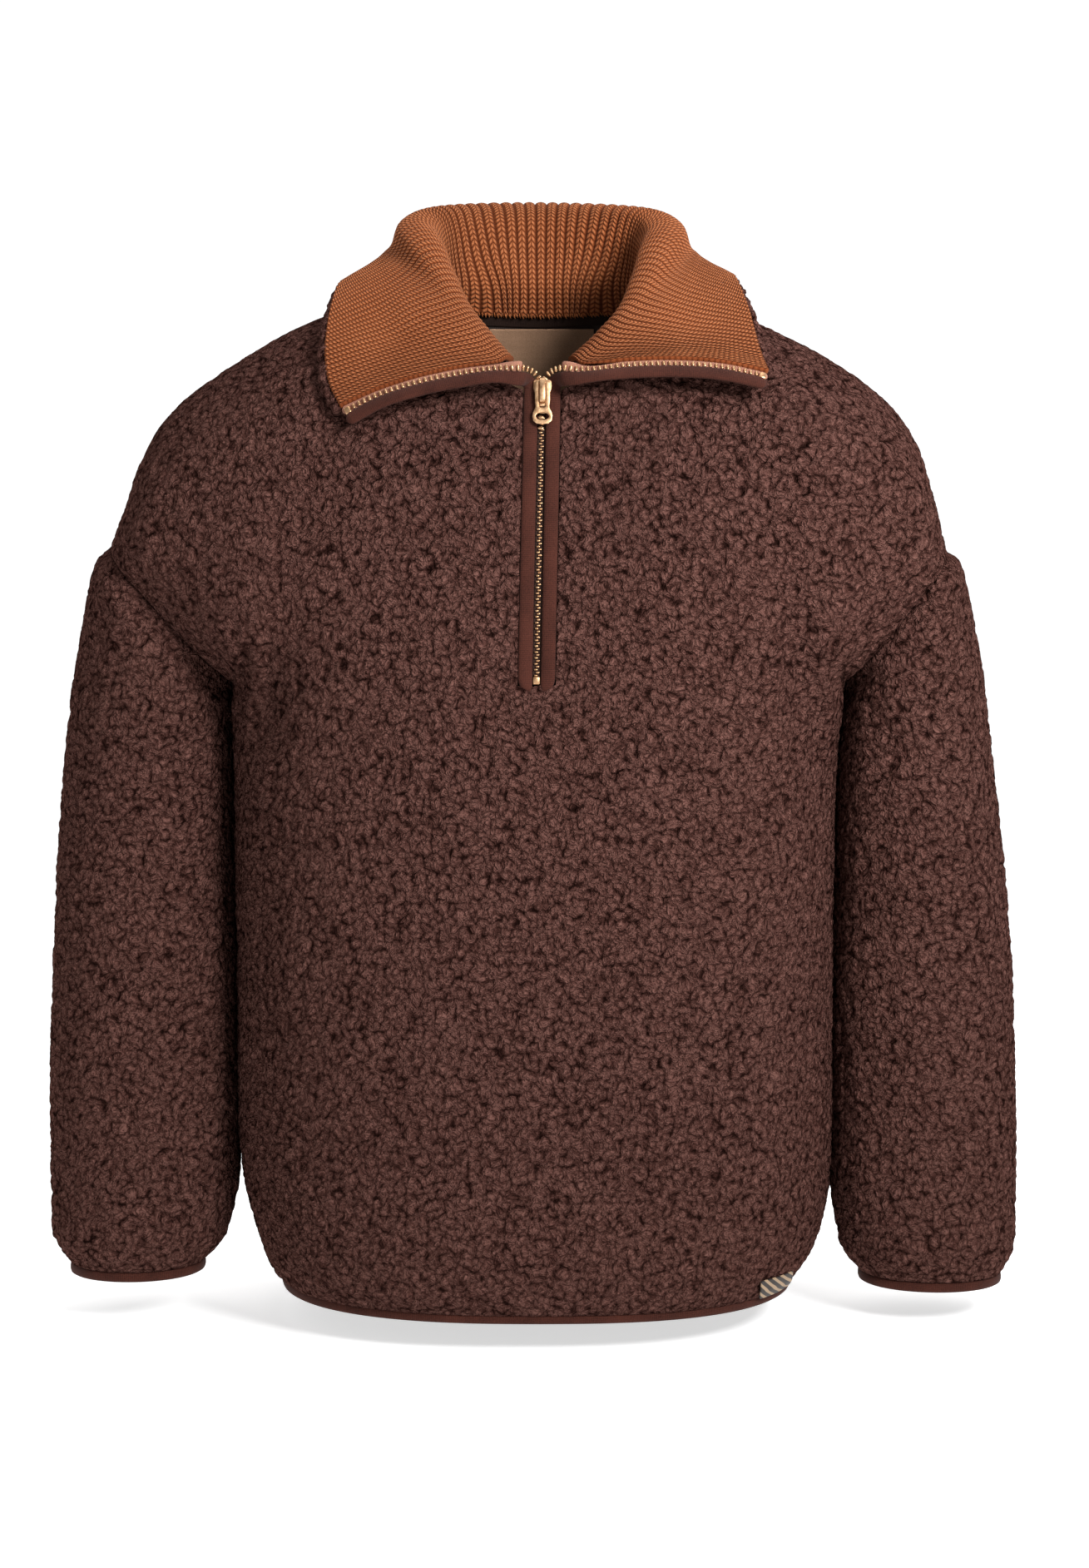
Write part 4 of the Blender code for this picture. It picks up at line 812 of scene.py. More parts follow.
def read_between(keys, values, at):
    """A smooth curve through whole rows of values, read at new places."""
    slopes = np.gradient(values, keys, axis=0)
    cell = np.clip(np.searchsorted(keys, at, side="right") - 1, 0, len(keys) - 2)
    step = (keys[cell + 1] - keys[cell])[:, None, None]
    t = (at - keys[cell])[:, None, None] / step
    rise = values[cell + 1] - values[cell]
    bend = slopes[cell] * (1 - t) - slopes[cell + 1] * t
    return values[cell] + rise * t * t * (3 - 2 * t) + step * t * (1 - t) * bend


def finer(grids, spacing, stops=(), around=False):
    """Several matching grids, read at the same closer places down and across."""
    lead = grids[0]
    down = keys_along(lead, 0)
    down_at = places_between(down, spacing[0])
    grids = [read_between(down, grid, down_at) for grid in grids]
    if around:
        grids = [np.concatenate((g[:, -3:], g, g[:, :4]), axis=1) for g in grids]
        lead = np.concatenate((lead[:, -3:], lead, lead[:, :4]), axis=1)
    across = keys_along(lead, 1)
    if around:
        stops = (3, lead.shape[1] - 4)
    across_at = places_between(across, spacing[1], stops)
    if around:
        inside = (across_at >= across[3] - 1e-9) & (across_at <= across[-4] + 1e-9)
        across_at = across_at[inside]
    return [read_between(across, g.transpose(1, 0, 2), across_at).transpose(1, 0, 2) for g in grids]


# %% [markdown]
# A sheet starts as a flat grid and its points are then laid where the worked-out grid has them.
# Faces are taken out where the cloth is slit for the zip, a tube is welded along its seam, and
# every free edge is extruded to the cloth's other side, so that an edge shows its thickness.

# %% A sheet of cloth
def link(name, mesh, material=None, body="garment"):
    """Puts a mesh in the scene as a piece that rides on a body."""
    piece = bpy.data.objects.new(name, mesh)
    bpy.context.scene.collection.objects.link(piece)
    if material is not None:
        mesh.materials.append(material)
    for polygon in mesh.polygons:
        polygon.use_smooth = True
    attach(piece, body)
    return piece


def edge_distance(grid, around):
    """How far each point of a grid lies from the nearest edge, about."""
    down = keys_along(grid, 0)
    near = np.minimum(down, down[-1] - down)[:, None]
    if around:
        return near + np.zeros(grid.shape[1])[None, :]
    across = keys_along(grid, 1)
    return np.minimum(near, np.minimum(across, across[-1] - across)[None, :])


def cloth(name, outer, other_side, material, around=False, cut=None, uv=None, away=None, proud=None):
    """A sheet over the outer grid whose free edges turn in to the other side's grid."""
    rows, columns = outer.shape[:2]
    mesh = bpy.data.meshes.new(name)
    sheet = bmesh.new()
    bmesh.ops.create_grid(sheet, x_segments=columns - 1, y_segments=rows - 1, size=1.0)
    sheet.to_mesh(mesh)
    mesh.vertices.foreach_set("co", np.ascontiguousarray(outer, np.float32).ravel())
    place = mesh.attributes.new("place", "INT", "POINT")
    place.data.foreach_set("value", np.arange(rows * columns, dtype=np.int32))
    free = mesh.attributes.new("free", "FLOAT", "POINT")
    distance = edge_distance(outer, around) if away is None else away
    free.data.foreach_set("value", np.ascontiguousarray(distance, np.float32).ravel())
    if proud is not None:
        more = mesh.attributes.new("proud", "FLOAT", "POINT")
        more.data.foreach_set("value", np.ascontiguousarray(proud, np.float32).ravel())
    if uv is not None:
        corners = np.empty(len(mesh.loops), np.int32)
        mesh.loops.foreach_get("vertex_index", corners)
        layer = mesh.uv_layers.new(name="cloth")
        layer.data.foreach_set("uv", np.ascontiguousarray(uv.reshape(-1, 2)[corners], np.float32).ravel())
    sheet.clear()
    sheet.from_mesh(mesh)
    sheet.verts.ensure_lookup_table()
    if cut is not None:
        sheet.faces.ensure_lookup_table()
        gone = [sheet.faces[int(index)] for index in np.flatnonzero(cut)]
        bmesh.ops.delete(sheet, geom=gone, context="FACES")
        sheet.verts.ensure_lookup_table()
    marks = sheet.verts.layers.int["place"]
    if around:
        pairs = {}
        by_place = {vertex[marks]: vertex for vertex in sheet.verts}
        for row in range(rows):
            pairs[by_place[row * columns + columns - 1]] = by_place[row * columns]
        bmesh.ops.weld_verts(sheet, targetmap=pairs)
    if other_side is not None:
        freedom = sheet.verts.layers.float["free"]
        lift = sheet.verts.layers.float.get("proud")
        edges = [edge for edge in sheet.edges if edge.is_boundary]
        made = bmesh.ops.extrude_edge_only(sheet, edges=edges)
        under = other_side.reshape(-1, 3)
        for vertex in made["geom"]:
            if isinstance(vertex, bmesh.types.BMVert):
                vertex.co = Vector(under[vertex[marks]])
                vertex[freedom] = 0.0
                if lift is not None:
                    vertex[lift] = 0.0
    bmesh.ops.recalc_face_normals(sheet, faces=sheet.faces[:])
    middle = sheet.faces[:][len(sheet.faces) // 2]
    first = middle.verts[0]
    if other_side is not None:
        inward = Vector(other_side.reshape(-1, 3)[first[marks]]) - first.co
        if inward.dot(middle.normal) > 0:
            bmesh.ops.reverse_faces(sheet, faces=sheet.faces[:])
    sheet.to_mesh(mesh)
    sheet.free()
    mesh.attributes.remove(mesh.attributes["place"])
    return link(name, mesh, material)


# %% [markdown]
# The pile is made of small curls with narrow crevices round them. Real fibres would take
# millions of hairs; lumps from cell patterns look the same at arm's length. Geometry Nodes moves
# the points into lumps six or seven millimetres wide. It also stores each point's place, bent by
# noise so that no cell looks like another, and the material draws its own cells there, about
# four millimetres wide, with noise for crumb grains and fibres. The colour has painted shade: dark
# in the crevices and creases, lighter on the top of each curl.

# %% Helpers for nodes and materials
def new_material(name, roughness=0.9, metallic=0.0, sheen=0.0, specular=0.3):
    material = bpy.data.materials.new(name)
    material.use_nodes = True
    shader = material.node_tree.nodes["Principled BSDF"]
    shader.inputs["Roughness"].default_value = roughness
    shader.inputs["Metallic"].default_value = metallic
    shader.inputs["Sheen Weight"].default_value = sheen
    shader.inputs["Specular IOR Level"].default_value = specular
    return material, material.node_tree, shader


def node(tree, kind, **inputs):
    """A node with some of its inputs set, a link where the value is a socket."""
    made = tree.nodes.new(kind)
    for name, value in inputs.items():
        key = int(name[1:]) if name[0] == "i" and name[1:].isdigit() else name.replace("_", " ")
        if isinstance(value, bpy.types.NodeSocket):
            tree.links.new(value, made.inputs[key])
        else:
            made.inputs[key].default_value = value
    return made


def maths(tree, operation, a, b=0.0, c=0.0, clamp=False):
    made = node(tree, "ShaderNodeMath", i0=a, i1=b, i2=c)
    made.operation = operation
    made.use_clamp = clamp
    return made.outputs[0]


def ramp(tree, value, *stops):
    """A colour ramp: stops are (place, colour)."""
    made = node(tree, "ShaderNodeValToRGB", Fac=value)
    elements = made.color_ramp.elements
    while len(elements) < len(stops):
        elements.new(0.5)
    for element, (place, colour) in zip(elements, stops):
        element.position = place
        element.color = (*colour, 1.0)
    return made.outputs["Color"]


def noise(tree, place, scale, detail=2.0, rough=0.5):
    made = node(tree, "ShaderNodeTexNoise", Vector=place, Scale=scale, Detail=detail, Roughness=rough)
    return made.outputs[0]


def bump(tree, shader, height, distance, strength=1.0):
    made = node(tree, "ShaderNodeBump", Height=height, Distance=distance, Strength=strength)
    tree.links.new(made.outputs[0], shader.inputs["Normal"])
    return made


# %% How wide a curl is
CURLS_PER_METRE = 265.0
CLUMPS_PER_METRE = 150.0

# %% Geometry nodes that raise the curls
def make_curl_group():
    group = bpy.data.node_groups.new("raise_curls", "GeometryNodeTree")
    group.interface.new_socket("Cloth", in_out="INPUT", socket_type="NodeSocketGeometry")
    depth = group.interface.new_socket("Depth", in_out="INPUT", socket_type="NodeSocketFloat")
    depth.default_value = 0.0020
    group.interface.new_socket("Cloth", in_out="OUTPUT", socket_type="NodeSocketGeometry")
    links = group.links
    start = group.nodes.new("NodeGroupInput")
    end = group.nodes.new("NodeGroupOutput")
    place = group.nodes.new("GeometryNodeInputPosition").outputs[0]
    wander = node(group, "ShaderNodeTexNoise", Vector=place, Scale=130.0, Detail=2.0)
    centred = node(group, "ShaderNodeVectorMath", i0=wander.outputs["Color"], i1=(0.5, 0.5, 0.5))
    centred.operation = "SUBTRACT"
    bent = node(group, "ShaderNodeVectorMath", i0=centred.outputs[0], i1=(0.010, 0.010, 0.010), i2=place)
    bent.operation = "MULTIPLY_ADD"
    keep = node(group, "GeometryNodeStoreNamedAttribute", Geometry=start.outputs["Cloth"])
    keep.data_type = "FLOAT_VECTOR"
    keep.inputs["Name"].default_value = "curl_place"
    links.new(bent.outputs[0], keep.inputs["Value"])
    cells = node(group, "ShaderNodeTexVoronoi", Vector=bent.outputs[0], Scale=CLUMPS_PER_METRE)
    cells.feature = "SMOOTH_F1"
    cells.inputs["Smoothness"].default_value = 0.3
    square = maths(group, "POWER", cells.outputs["Distance"], 2.0)
    height = maths(group, "MULTIPLY_ADD", square, -1.7, 1.0)
    clumps = noise(group, place, 42.0, 2.0)
    lifted = maths(group, "MULTIPLY_ADD", clumps, 0.9, height)
    lowered = maths(group, "SUBTRACT", lifted, 0.95)
    free = group.nodes.new("GeometryNodeInputNamedAttribute")
    free.data_type = "FLOAT"
    free.inputs["Name"].default_value = "free"
    fade = node(group, "ShaderNodeMapRange", Value=free.outputs["Attribute"], From_Max=0.006, To_Min=0.15)
    fade.interpolation_type = "SMOOTHSTEP"
    faded = maths(group, "MULTIPLY", fade.outputs["Result"], start.outputs["Depth"])
    proud = group.nodes.new("GeometryNodeInputNamedAttribute")
    proud.data_type = "FLOAT"
    proud.inputs["Name"].default_value = "proud"
    amount = maths(group, "MULTIPLY_ADD", lowered, faded, proud.outputs["Attribute"])
    normal = group.nodes.new("GeometryNodeInputNormal")
    offset = node(group, "ShaderNodeVectorMath", i0=normal.outputs[0])
    offset.operation = "SCALE"
    links.new(amount, offset.inputs["Scale"])
    move = node(group, "GeometryNodeSetPosition", Geometry=keep.outputs["Geometry"], Offset=offset.outputs[0])
    links.new(move.outputs["Geometry"], end.inputs["Cloth"])
    return group


curl_group = make_curl_group()


def curl(piece, depth=0.0019):
    """Raises curls on a piece."""
    modifier = piece.modifiers.new("curls", "NODES")
    modifier.node_group = curl_group
    modifier["Socket_1"] = depth
    return piece


print("curls", round(1000 / CURLS_PER_METRE, 1), "mm wide")

# %% [markdown]
# Materials. The fleece is dark brown wool: it is matt, and its colour is painted lighter on the top of
# each curl, where light would graze the fibre tips, and darker in the crevices, as shade. The rib is
# knitted in stitches that form small Vs up each rib, with shade painted in its valleys and down the
# middle of each V. The bindings are a fine smooth knit. The zip is warm, pale gold metal on a woven tape.

# %% Fleece
def fleece_material():
    material, tree, shader = new_material("wool_pile", 0.95, 0.0, 0.0, 0.0)
    place = node(tree, "ShaderNodeAttribute")
    place.attribute_name = "curl_place"
    place = place.outputs["Vector"]
    cells = node(tree, "ShaderNodeTexVoronoi", Vector=place, Scale=CURLS_PER_METRE)
    distance = cells.outputs["Distance"]
    # Crumb creases: lower in the bump, and painted darker in the colour as shade.
    small = noise(tree, place, 2.0 * CURLS_PER_METRE, 0.0)
    folded = maths(tree, "ABSOLUTE", maths(tree, "SUBTRACT", small, 0.5))
    crumb_creases_relief_and_shade = maths(tree, "MULTIPLY_ADD", folded, -2.6, 0.6)
    # Painted shade: each curl is coloured lighter on its top and darker towards its sides; the same dome also
    # drives the bump.
    dome_relief_and_painted_shade = maths(tree, "MULTIPLY_ADD", maths(tree, "MULTIPLY", distance, distance), -1.15, 1.0)
    fibre = noise(tree, place, 1000.0, 1.0, 0.75)
    patch = noise(tree, place, 70.0, 1.0)
    # Painted shade: the colour darkens in the crevices between curls, by an amount that the patch noise
    # varies.
    painted_crevice_shade = node(tree, "ShaderNodeMapRange", Value=distance, From_Min=0.66, From_Max=0.96)
    painted_crevice_shade.interpolation_type = "SMOOTHSTEP"
    depth = maths(tree, "MULTIPLY", painted_crevice_shade.outputs[0], maths(tree, "MULTIPLY_ADD", patch, 0.30, 0.10))
    shade = maths(tree, "SUBTRACT", maths(tree, "MULTIPLY_ADD", fibre, 0.95, -0.04), depth)
    shade = maths(tree, "MULTIPLY_ADD", dome_relief_and_painted_shade, 0.58, shade)
    shade = maths(tree, "MULTIPLY_ADD", crumb_creases_relief_and_shade, -0.20, shade, clamp=True)
    colour = ramp(
        tree, shade,
        (0.10, (0.0180, 0.0072, 0.0057)), (0.42, (0.0375, 0.0152, 0.0121)),
        (0.74, (0.0780, 0.0332, 0.0268)), (0.96, (0.1540, 0.0720, 0.0585)),
    )
    tree.links.new(colour, shader.inputs["Base Color"])
    relief = maths(tree, "MULTIPLY_ADD", fibre, 0.42, maths(tree, "MULTIPLY_ADD", crumb_creases_relief_and_shade, -0.42, dome_relief_and_painted_shade))
    bump(tree, shader, relief, 0.0048, 1.0)
    return material


fleece = fleece_material()
print("fleece material with", len(fleece.node_tree.nodes), "nodes")

# %% Dark knit back of the fleece
def knit_back_material():
    material, tree, shader = new_material("knit_back", 0.95, 0.0, 0.2, 0.15)
    place = node(tree, "ShaderNodeTexCoord").outputs["Object"]
    wales = node(tree, "ShaderNodeTexWave", Vector=place, Scale=330.0, Distortion=1.2)
    wales.inputs["Detail Scale"].default_value = 2.0
    grain = noise(tree, place, 700.0, 3.0)
    mixed = maths(tree, "MULTIPLY_ADD", wales.outputs[1], 0.4, grain)
    colour = ramp(
        tree, maths(tree, "MULTIPLY", mixed, 0.7, clamp=True),
        (0.2, (0.022, 0.014, 0.011)), (0.9, (0.060, 0.040, 0.033)),
    )
    tree.links.new(colour, shader.inputs["Base Color"])
    bump(tree, shader, mixed, 0.0004, 0.7)
    return material


knit_back = knit_back_material()

# %% Rib knit
def rib_material():
    material, tree, shader = new_material("rust_rib", 0.92, 0.0, 0.08, 0.10)
    shader.inputs["Sheen Tint"].default_value = (0.95, 0.55, 0.35, 1.0)
    uv = node(tree, "ShaderNodeUVMap")
    uv.uv_map = "cloth"
    parts = node(tree, "ShaderNodeSeparateXYZ", Vector=uv.outputs[0])
    across = maths(tree, "SUBTRACT", maths(tree, "FRACT", maths(tree, "ADD", parts.outputs[0], 0.5)), 0.5)
    side = maths(tree, "ABSOLUTE", across)
    slant = maths(tree, "MULTIPLY_ADD", side, 1.7, parts.outputs[1])
    stitch = maths(tree, "SINE", maths(tree, "MULTIPLY", maths(tree, "FRACT", slant), math.pi))
    # Painted shade: the colour is darker down the middle of each rib, between the stitches up it and in the
    # valleys between ribs; the same height drives the bump.
    groove_relief_and_painted_shade = node(tree, "ShaderNodeMapRange", Value=side, From_Max=0.09, To_Min=0.35)
    groove_relief_and_painted_shade.interpolation_type = "SMOOTHSTEP"
    valley_relief_and_painted_shade = node(tree, "ShaderNodeMapRange", Value=side, From_Min=0.28, From_Max=0.5, To_Min=1.0, To_Max=0.0)
    valley_relief_and_painted_shade.interpolation_type = "SMOOTHSTEP"
    loop = maths(tree, "MULTIPLY", maths(tree, "POWER", stitch, 0.8), groove_relief_and_painted_shade.outputs[0])
    raised = maths(tree, "MULTIPLY_ADD", loop, 0.9, 0.1)
    height = maths(tree, "MULTIPLY", raised, maths(tree, "MULTIPLY_ADD", valley_relief_and_painted_shade.outputs[0], 0.90, 0.10))
    place = node(tree, "ShaderNodeTexCoord").outputs["Object"]
    fuzz = noise(tree, place, 1400.0, 3.0, 0.75)
    tone = noise(tree, place, 25.0, 2.0)
    shade = maths(tree, "MULTIPLY_ADD", fuzz, 0.42, maths(tree, "MULTIPLY_ADD", tone, 0.25, height))
    colour = ramp(
        tree, maths(tree, "MULTIPLY", shade, 0.68, clamp=True),
        (0.12, (0.030, 0.0046, 0.0010)), (0.42, (0.158, 0.0370, 0.0105)),
        (0.72, (0.330, 0.0960, 0.0320)), (0.98, (0.500, 0.1780, 0.0720)),
    )
    tree.links.new(colour, shader.inputs["Base Color"])
    relief = maths(tree, "MULTIPLY_ADD", fuzz, 0.30, height)
    bump(tree, shader, relief, 0.0012, 1.0)
    return material


rib_knit = rib_material()

# %% Binding, tape, thread and labels
def fine_knit_material(name, low, high, along=1100.0):
    """A smooth knit whose courses cross the strip; the v of its map runs along it in metres."""
    material, tree, shader = new_material(name, 0.85, 0.0, 0.03, 0.12)
    uv = node(tree, "ShaderNodeUVMap")
    uv.uv_map = "cloth"
    parts = node(tree, "ShaderNodeSeparateXYZ", Vector=uv.outputs[0])
    course = maths(tree, "SINE", maths(tree, "MULTIPLY", parts.outputs[1], along * 2 * math.pi))
    wale = maths(tree, "SINE", maths(tree, "MULTIPLY", parts.outputs[0], along * 2 * math.pi))
    place = node(tree, "ShaderNodeTexCoord").outputs["Object"]
    grain = noise(tree, place, 1300.0, 3.0, 0.6)
    tone = noise(tree, place, 45.0, 2.0)
    weave = maths(tree, "MULTIPLY_ADD", course, 0.22, maths(tree, "MULTIPLY_ADD", wale, 0.10, grain))
    shade = maths(tree, "MULTIPLY_ADD", tone, 0.5, maths(tree, "MULTIPLY", weave, 0.7))
    colour = ramp(tree, shade, (0.25, low), (0.85, high))
    tree.links.new(colour, shader.inputs["Base Color"])
    bump(tree, shader, weave, 0.0003, 0.8)
    return material


binding = fine_knit_material("binding_knit", (0.013, 0.0034, 0.0022), (0.075, 0.0215, 0.0135))
tape = fine_knit_material("zip_tape", (0.20, 0.080, 0.050), (0.42, 0.205, 0.140), 1400.0)
label_cloth = fine_knit_material("label_weave", (0.25, 0.140, 0.080), (0.50, 0.300, 0.185), 1500.0)
facing = fine_knit_material("dark_facing", (0.014, 0.0070, 0.0048), (0.040, 0.0200, 0.0145), 900.0)
thread = fine_knit_material("rust_thread", (0.26, 0.070, 0.020), (0.50, 0.170, 0.055), 2500.0)


def metal_material():
    material, tree, shader = new_material("pale_gold", 0.32, 1.0, 0.0, 0.5)
    place = node(tree, "ShaderNodeTexCoord").outputs["Object"]
    wear = noise(tree, place, 420.0, 4.0, 0.6)
    fine = noise(tree, place, 3000.0, 2.0)
    colour = ramp(tree, wear, (0.3, (0.50, 0.270, 0.130)), (0.7, (0.78, 0.500, 0.290)))
    tree.links.new(colour, shader.inputs["Base Color"])
    rough = node(tree, "ShaderNodeMapRange", Value=wear, To_Min=0.22, To_Max=0.5)
    tree.links.new(rough.outputs[0], shader.inputs["Roughness"])
    bump(tree, shader, fine, 0.00008, 0.5)
    return material


gold = metal_material()
print("materials made:", len(bpy.data.materials))

# %% [markdown]
# The front and the back. Each is one sheet from the hem to the shoulder. The pile is on the
# outside; the inside shows the dark knit that carries it, which is a coarser sheet of its own.

# %% Coarse grids, as the solids have them
front, front_inner = panel("front", FRONT_COLUMNS, BODY_ROWS, ARM_ROWS, FRONT_FOLDS)
back, back_inner = panel("back", BACK_COLUMNS, BODY_ROWS, ARM_ROWS, BACK_FOLDS)
front = lean(front)
front_inner = lean(front_inner)
neck_seam = neckline(front, back, front_inner, back_inner)
print("front grid", front.shape, "back grid", back.shape)

# %% Front
PILE_STEP = 0.0021
PROUD_BESIDE_ARM = 0.0031
INSIDE_STEP = 0.006


def slot_cells(grid, left, right):
    """True for the cells of the front that are cut away for the zip."""
    middle = (grid[1:, 1:] + grid[:-1, :-1]) / 2
    inside = np.abs(middle[..., 0] - zip_centre(middle[..., 2])) < SLOT - 0.0002
    return inside & (middle[..., 2] > ZIP_END_Z)


def beside_arm(points, sleeve_side=None):
    """How far the pile stands proud where the sleeve lies against the body."""
    low = smooth_step(points[..., 2], -0.610, -0.560)
    high = 1 - smooth_step(points[..., 2], -0.256, -0.232)
    out = np.abs(points[..., 0])
    if sleeve_side is None:
        near_arm = smooth_step(out, 0.172, 0.192)
    else:
        near_arm = 1 - smooth_step(out, 0.208, 0.226)
    return PROUD_BESIDE_ARM * low * high * near_arm


def panel_pieces(face, outer, inner, stops):
    cut = None
    away = None
    fine, fine_inner = finer((outer, inner), (PILE_STEP, PILE_STEP), stops)
    if face == "front":
        cut = slot_cells(fine, *stops)
        beside = np.abs(fine[..., 0] - zip_centre(fine[..., 2])) - SLOT
        above = np.hypot(np.maximum(beside, 0), np.maximum(ZIP_END_Z - fine[..., 2], 0))
        away = np.minimum(edge_distance(fine, False), above)
    pile = cloth(f"{face}_pile", fine, fine_inner, fleece, cut=cut, away=away, proud=beside_arm(fine))
    curl(pile)
    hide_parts(face)
    lining, _ = finer((inner, outer), (INSIDE_STEP, INSIDE_STEP), stops)
    cut = slot_cells(lining, *stops) if face == "front" else None
    inside = cloth(f"{face}_inside", lining, None, knit_back, cut=cut)
    toward = 1.0 if face == "front" else -1.0
    if sum(p.normal.y for p in inside.data.polygons) * toward < 0:
        inside.data.flip_normals()
    print(face, "pile", len(pile.data.polygons), "faces, inside", len(inside.data.polygons))
    return pile, inside


middle_column = front.shape[1] // 2
front_pieces = panel_pieces("front", front, front_inner, (middle_column - 1, middle_column))
back_pieces = panel_pieces("back", back, back_inner, ())

# %% [markdown]
# The sleeves are tubes that start at the armhole and narrow a little before the cuff. They hang
# beside the body and just clear it, as they do on a wearer with lowered arms.

# %% Sleeves
sleeve_grids = {side: sleeve(side, SLEEVE_SHARES, ARM_ROWS) for side in SIDES}
for side in SIDES:
    outer, inner = sleeve_grids[side]
    fine, fine_inner = finer((outer, inner), (PILE_STEP, PILE_STEP), around=True)
    pile = cloth(
        f"sleeve_{side}_pile", fine, fine_inner, fleece, around=True, proud=beside_arm(fine, side)
    )
    curl(pile)
    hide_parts(f"sleeve_{side}")
    lining, _ = finer((inner, outer), (INSIDE_STEP, INSIDE_STEP), around=True)
    inside = cloth(f"sleeve_{side}_inside", lining, None, knit_back, around=True)
    centre = lining.mean(axis=(0, 1))
    facing_in = sum(p.normal.dot(Vector(centre) - p.center) for p in inside.data.polygons)
    if facing_in < 0:
        inside.data.flip_normals()
    print("sleeve", side, len(pile.data.polygons), "faces")

# %% [markdown]
# The collar has two plies. The rib knit inside is a row of rounded ribs, knitted in small Vs. The
# fleece outside is a little larger than the rib, so that its curls show past the rib's edge.

# %% The rib ply
RIB_PROFILE = 0.0009
RIB_STEPS = 8
COURSE = 0.0021

coarse_shares = np.linspace(0.0, 1.0, 2 * RIBS + 1)
collar_face, collar_normals = collar_surface(coarse_shares, neck_seam)
rib_shares = np.linspace(0.0, 1.0, RIBS * RIB_STEPS + 1)


def along_collar(grid, shares):
    """Reads a collar grid at other shares along the neck."""
    coarse = grid[:, ::COLUMNS_PER_PLY].transpose(1, 0, 2)
    turned = read_between(coarse_shares[::COLUMNS_PER_PLY], coarse, shares)
    return turned.transpose(1, 0, 2)


def down_collar(grids, spacing):
    down = keys_along(grids[0], 0)
    at = places_between(down, spacing)
    return [read_between(down, grid, at) for grid in grids], at


wide_face = along_collar(collar_face, rib_shares)
wide_normals = along_collar(collar_normals, rib_shares)
(fine_face, fine_normals), down_at = down_collar((wide_face, wide_normals), 0.0014)
fine_normals = unit(fine_normals)
phase = rib_shares * RIBS
rib_shape = RIB_PROFILE * (2 * np.abs(np.cos(np.pi * phase)) ** 0.6 - 1)
rib_outer = fine_face + fine_normals * rib_shape[None, :, None]
rib_inner = fine_face - fine_normals * RIB_KNIT
rib_uv = np.stack(np.broadcast_arrays(phase[None, :], down_at[:, None] / COURSE), axis=-1)
collar_rib = cloth("collar_rib_knit", rib_outer, rib_inner, rib_knit, uv=rib_uv)
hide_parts("collar_rib")
print("rib ply", len(collar_rib.data.polygons), "faces")

# %% The fleece ply
PILE_ROWS_ROUND = 7
LIP_RADIUS = 0.0038
near = collar_face - collar_normals * (RIB_KNIT + PLY_GAP)
far = collar_face - collar_normals * (RIB_KNIT + PLY_GAP + COLLAR_FLEECE)
pile_shares = places_between(coarse_shares * keys_along(far, 1)[-1], 0.0021)
pile_shares = pile_shares / pile_shares[-1]
(pile_far, pile_near), _ = down_collar(
    (along_collar(far, pile_shares), along_collar(near, pile_shares)), 0.0021
)
onward = unit(pile_far[-1] - pile_far[-3])
inward = unit(pile_near[-1] - pile_far[-1])
LIP_STRETCH = 1.5
turn = np.linspace(0.0, math.pi, PILE_ROWS_ROUND + 1)[1:, None, None]
lip = pile_far[-1:] + LIP_RADIUS * ((1 - np.cos(turn)) * inward + LIP_STRETCH * np.sin(turn) * onward)
core = np.repeat(pile_far[-1:] + LIP_RADIUS * inward, PILE_ROWS_ROUND, axis=0)
pile_far = np.concatenate((pile_far, lip))
pile_near = np.concatenate((pile_near, core))
from_foot = keys_along(pile_far, 0)[:, None] + np.zeros(pile_far.shape[1])
from_ends = keys_along(pile_far, 1)
from_ends = np.minimum(from_ends, from_ends[-1] - from_ends)[None, :] + 0.0 * from_foot
collar_pile = cloth("collar_pile", pile_far, pile_near, fleece, away=np.minimum(from_foot, from_ends))
curl(collar_pile, 0.0026)
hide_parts("collar_fleece")
print("fleece ply", len(collar_pile.data.polygons), "faces")

# %% [markdown]
# A bound edge is a folded strip: a rounded profile swept along the edge. The sweep is a grid
# whose rows are the profile at each place on the line, welded where it meets itself.

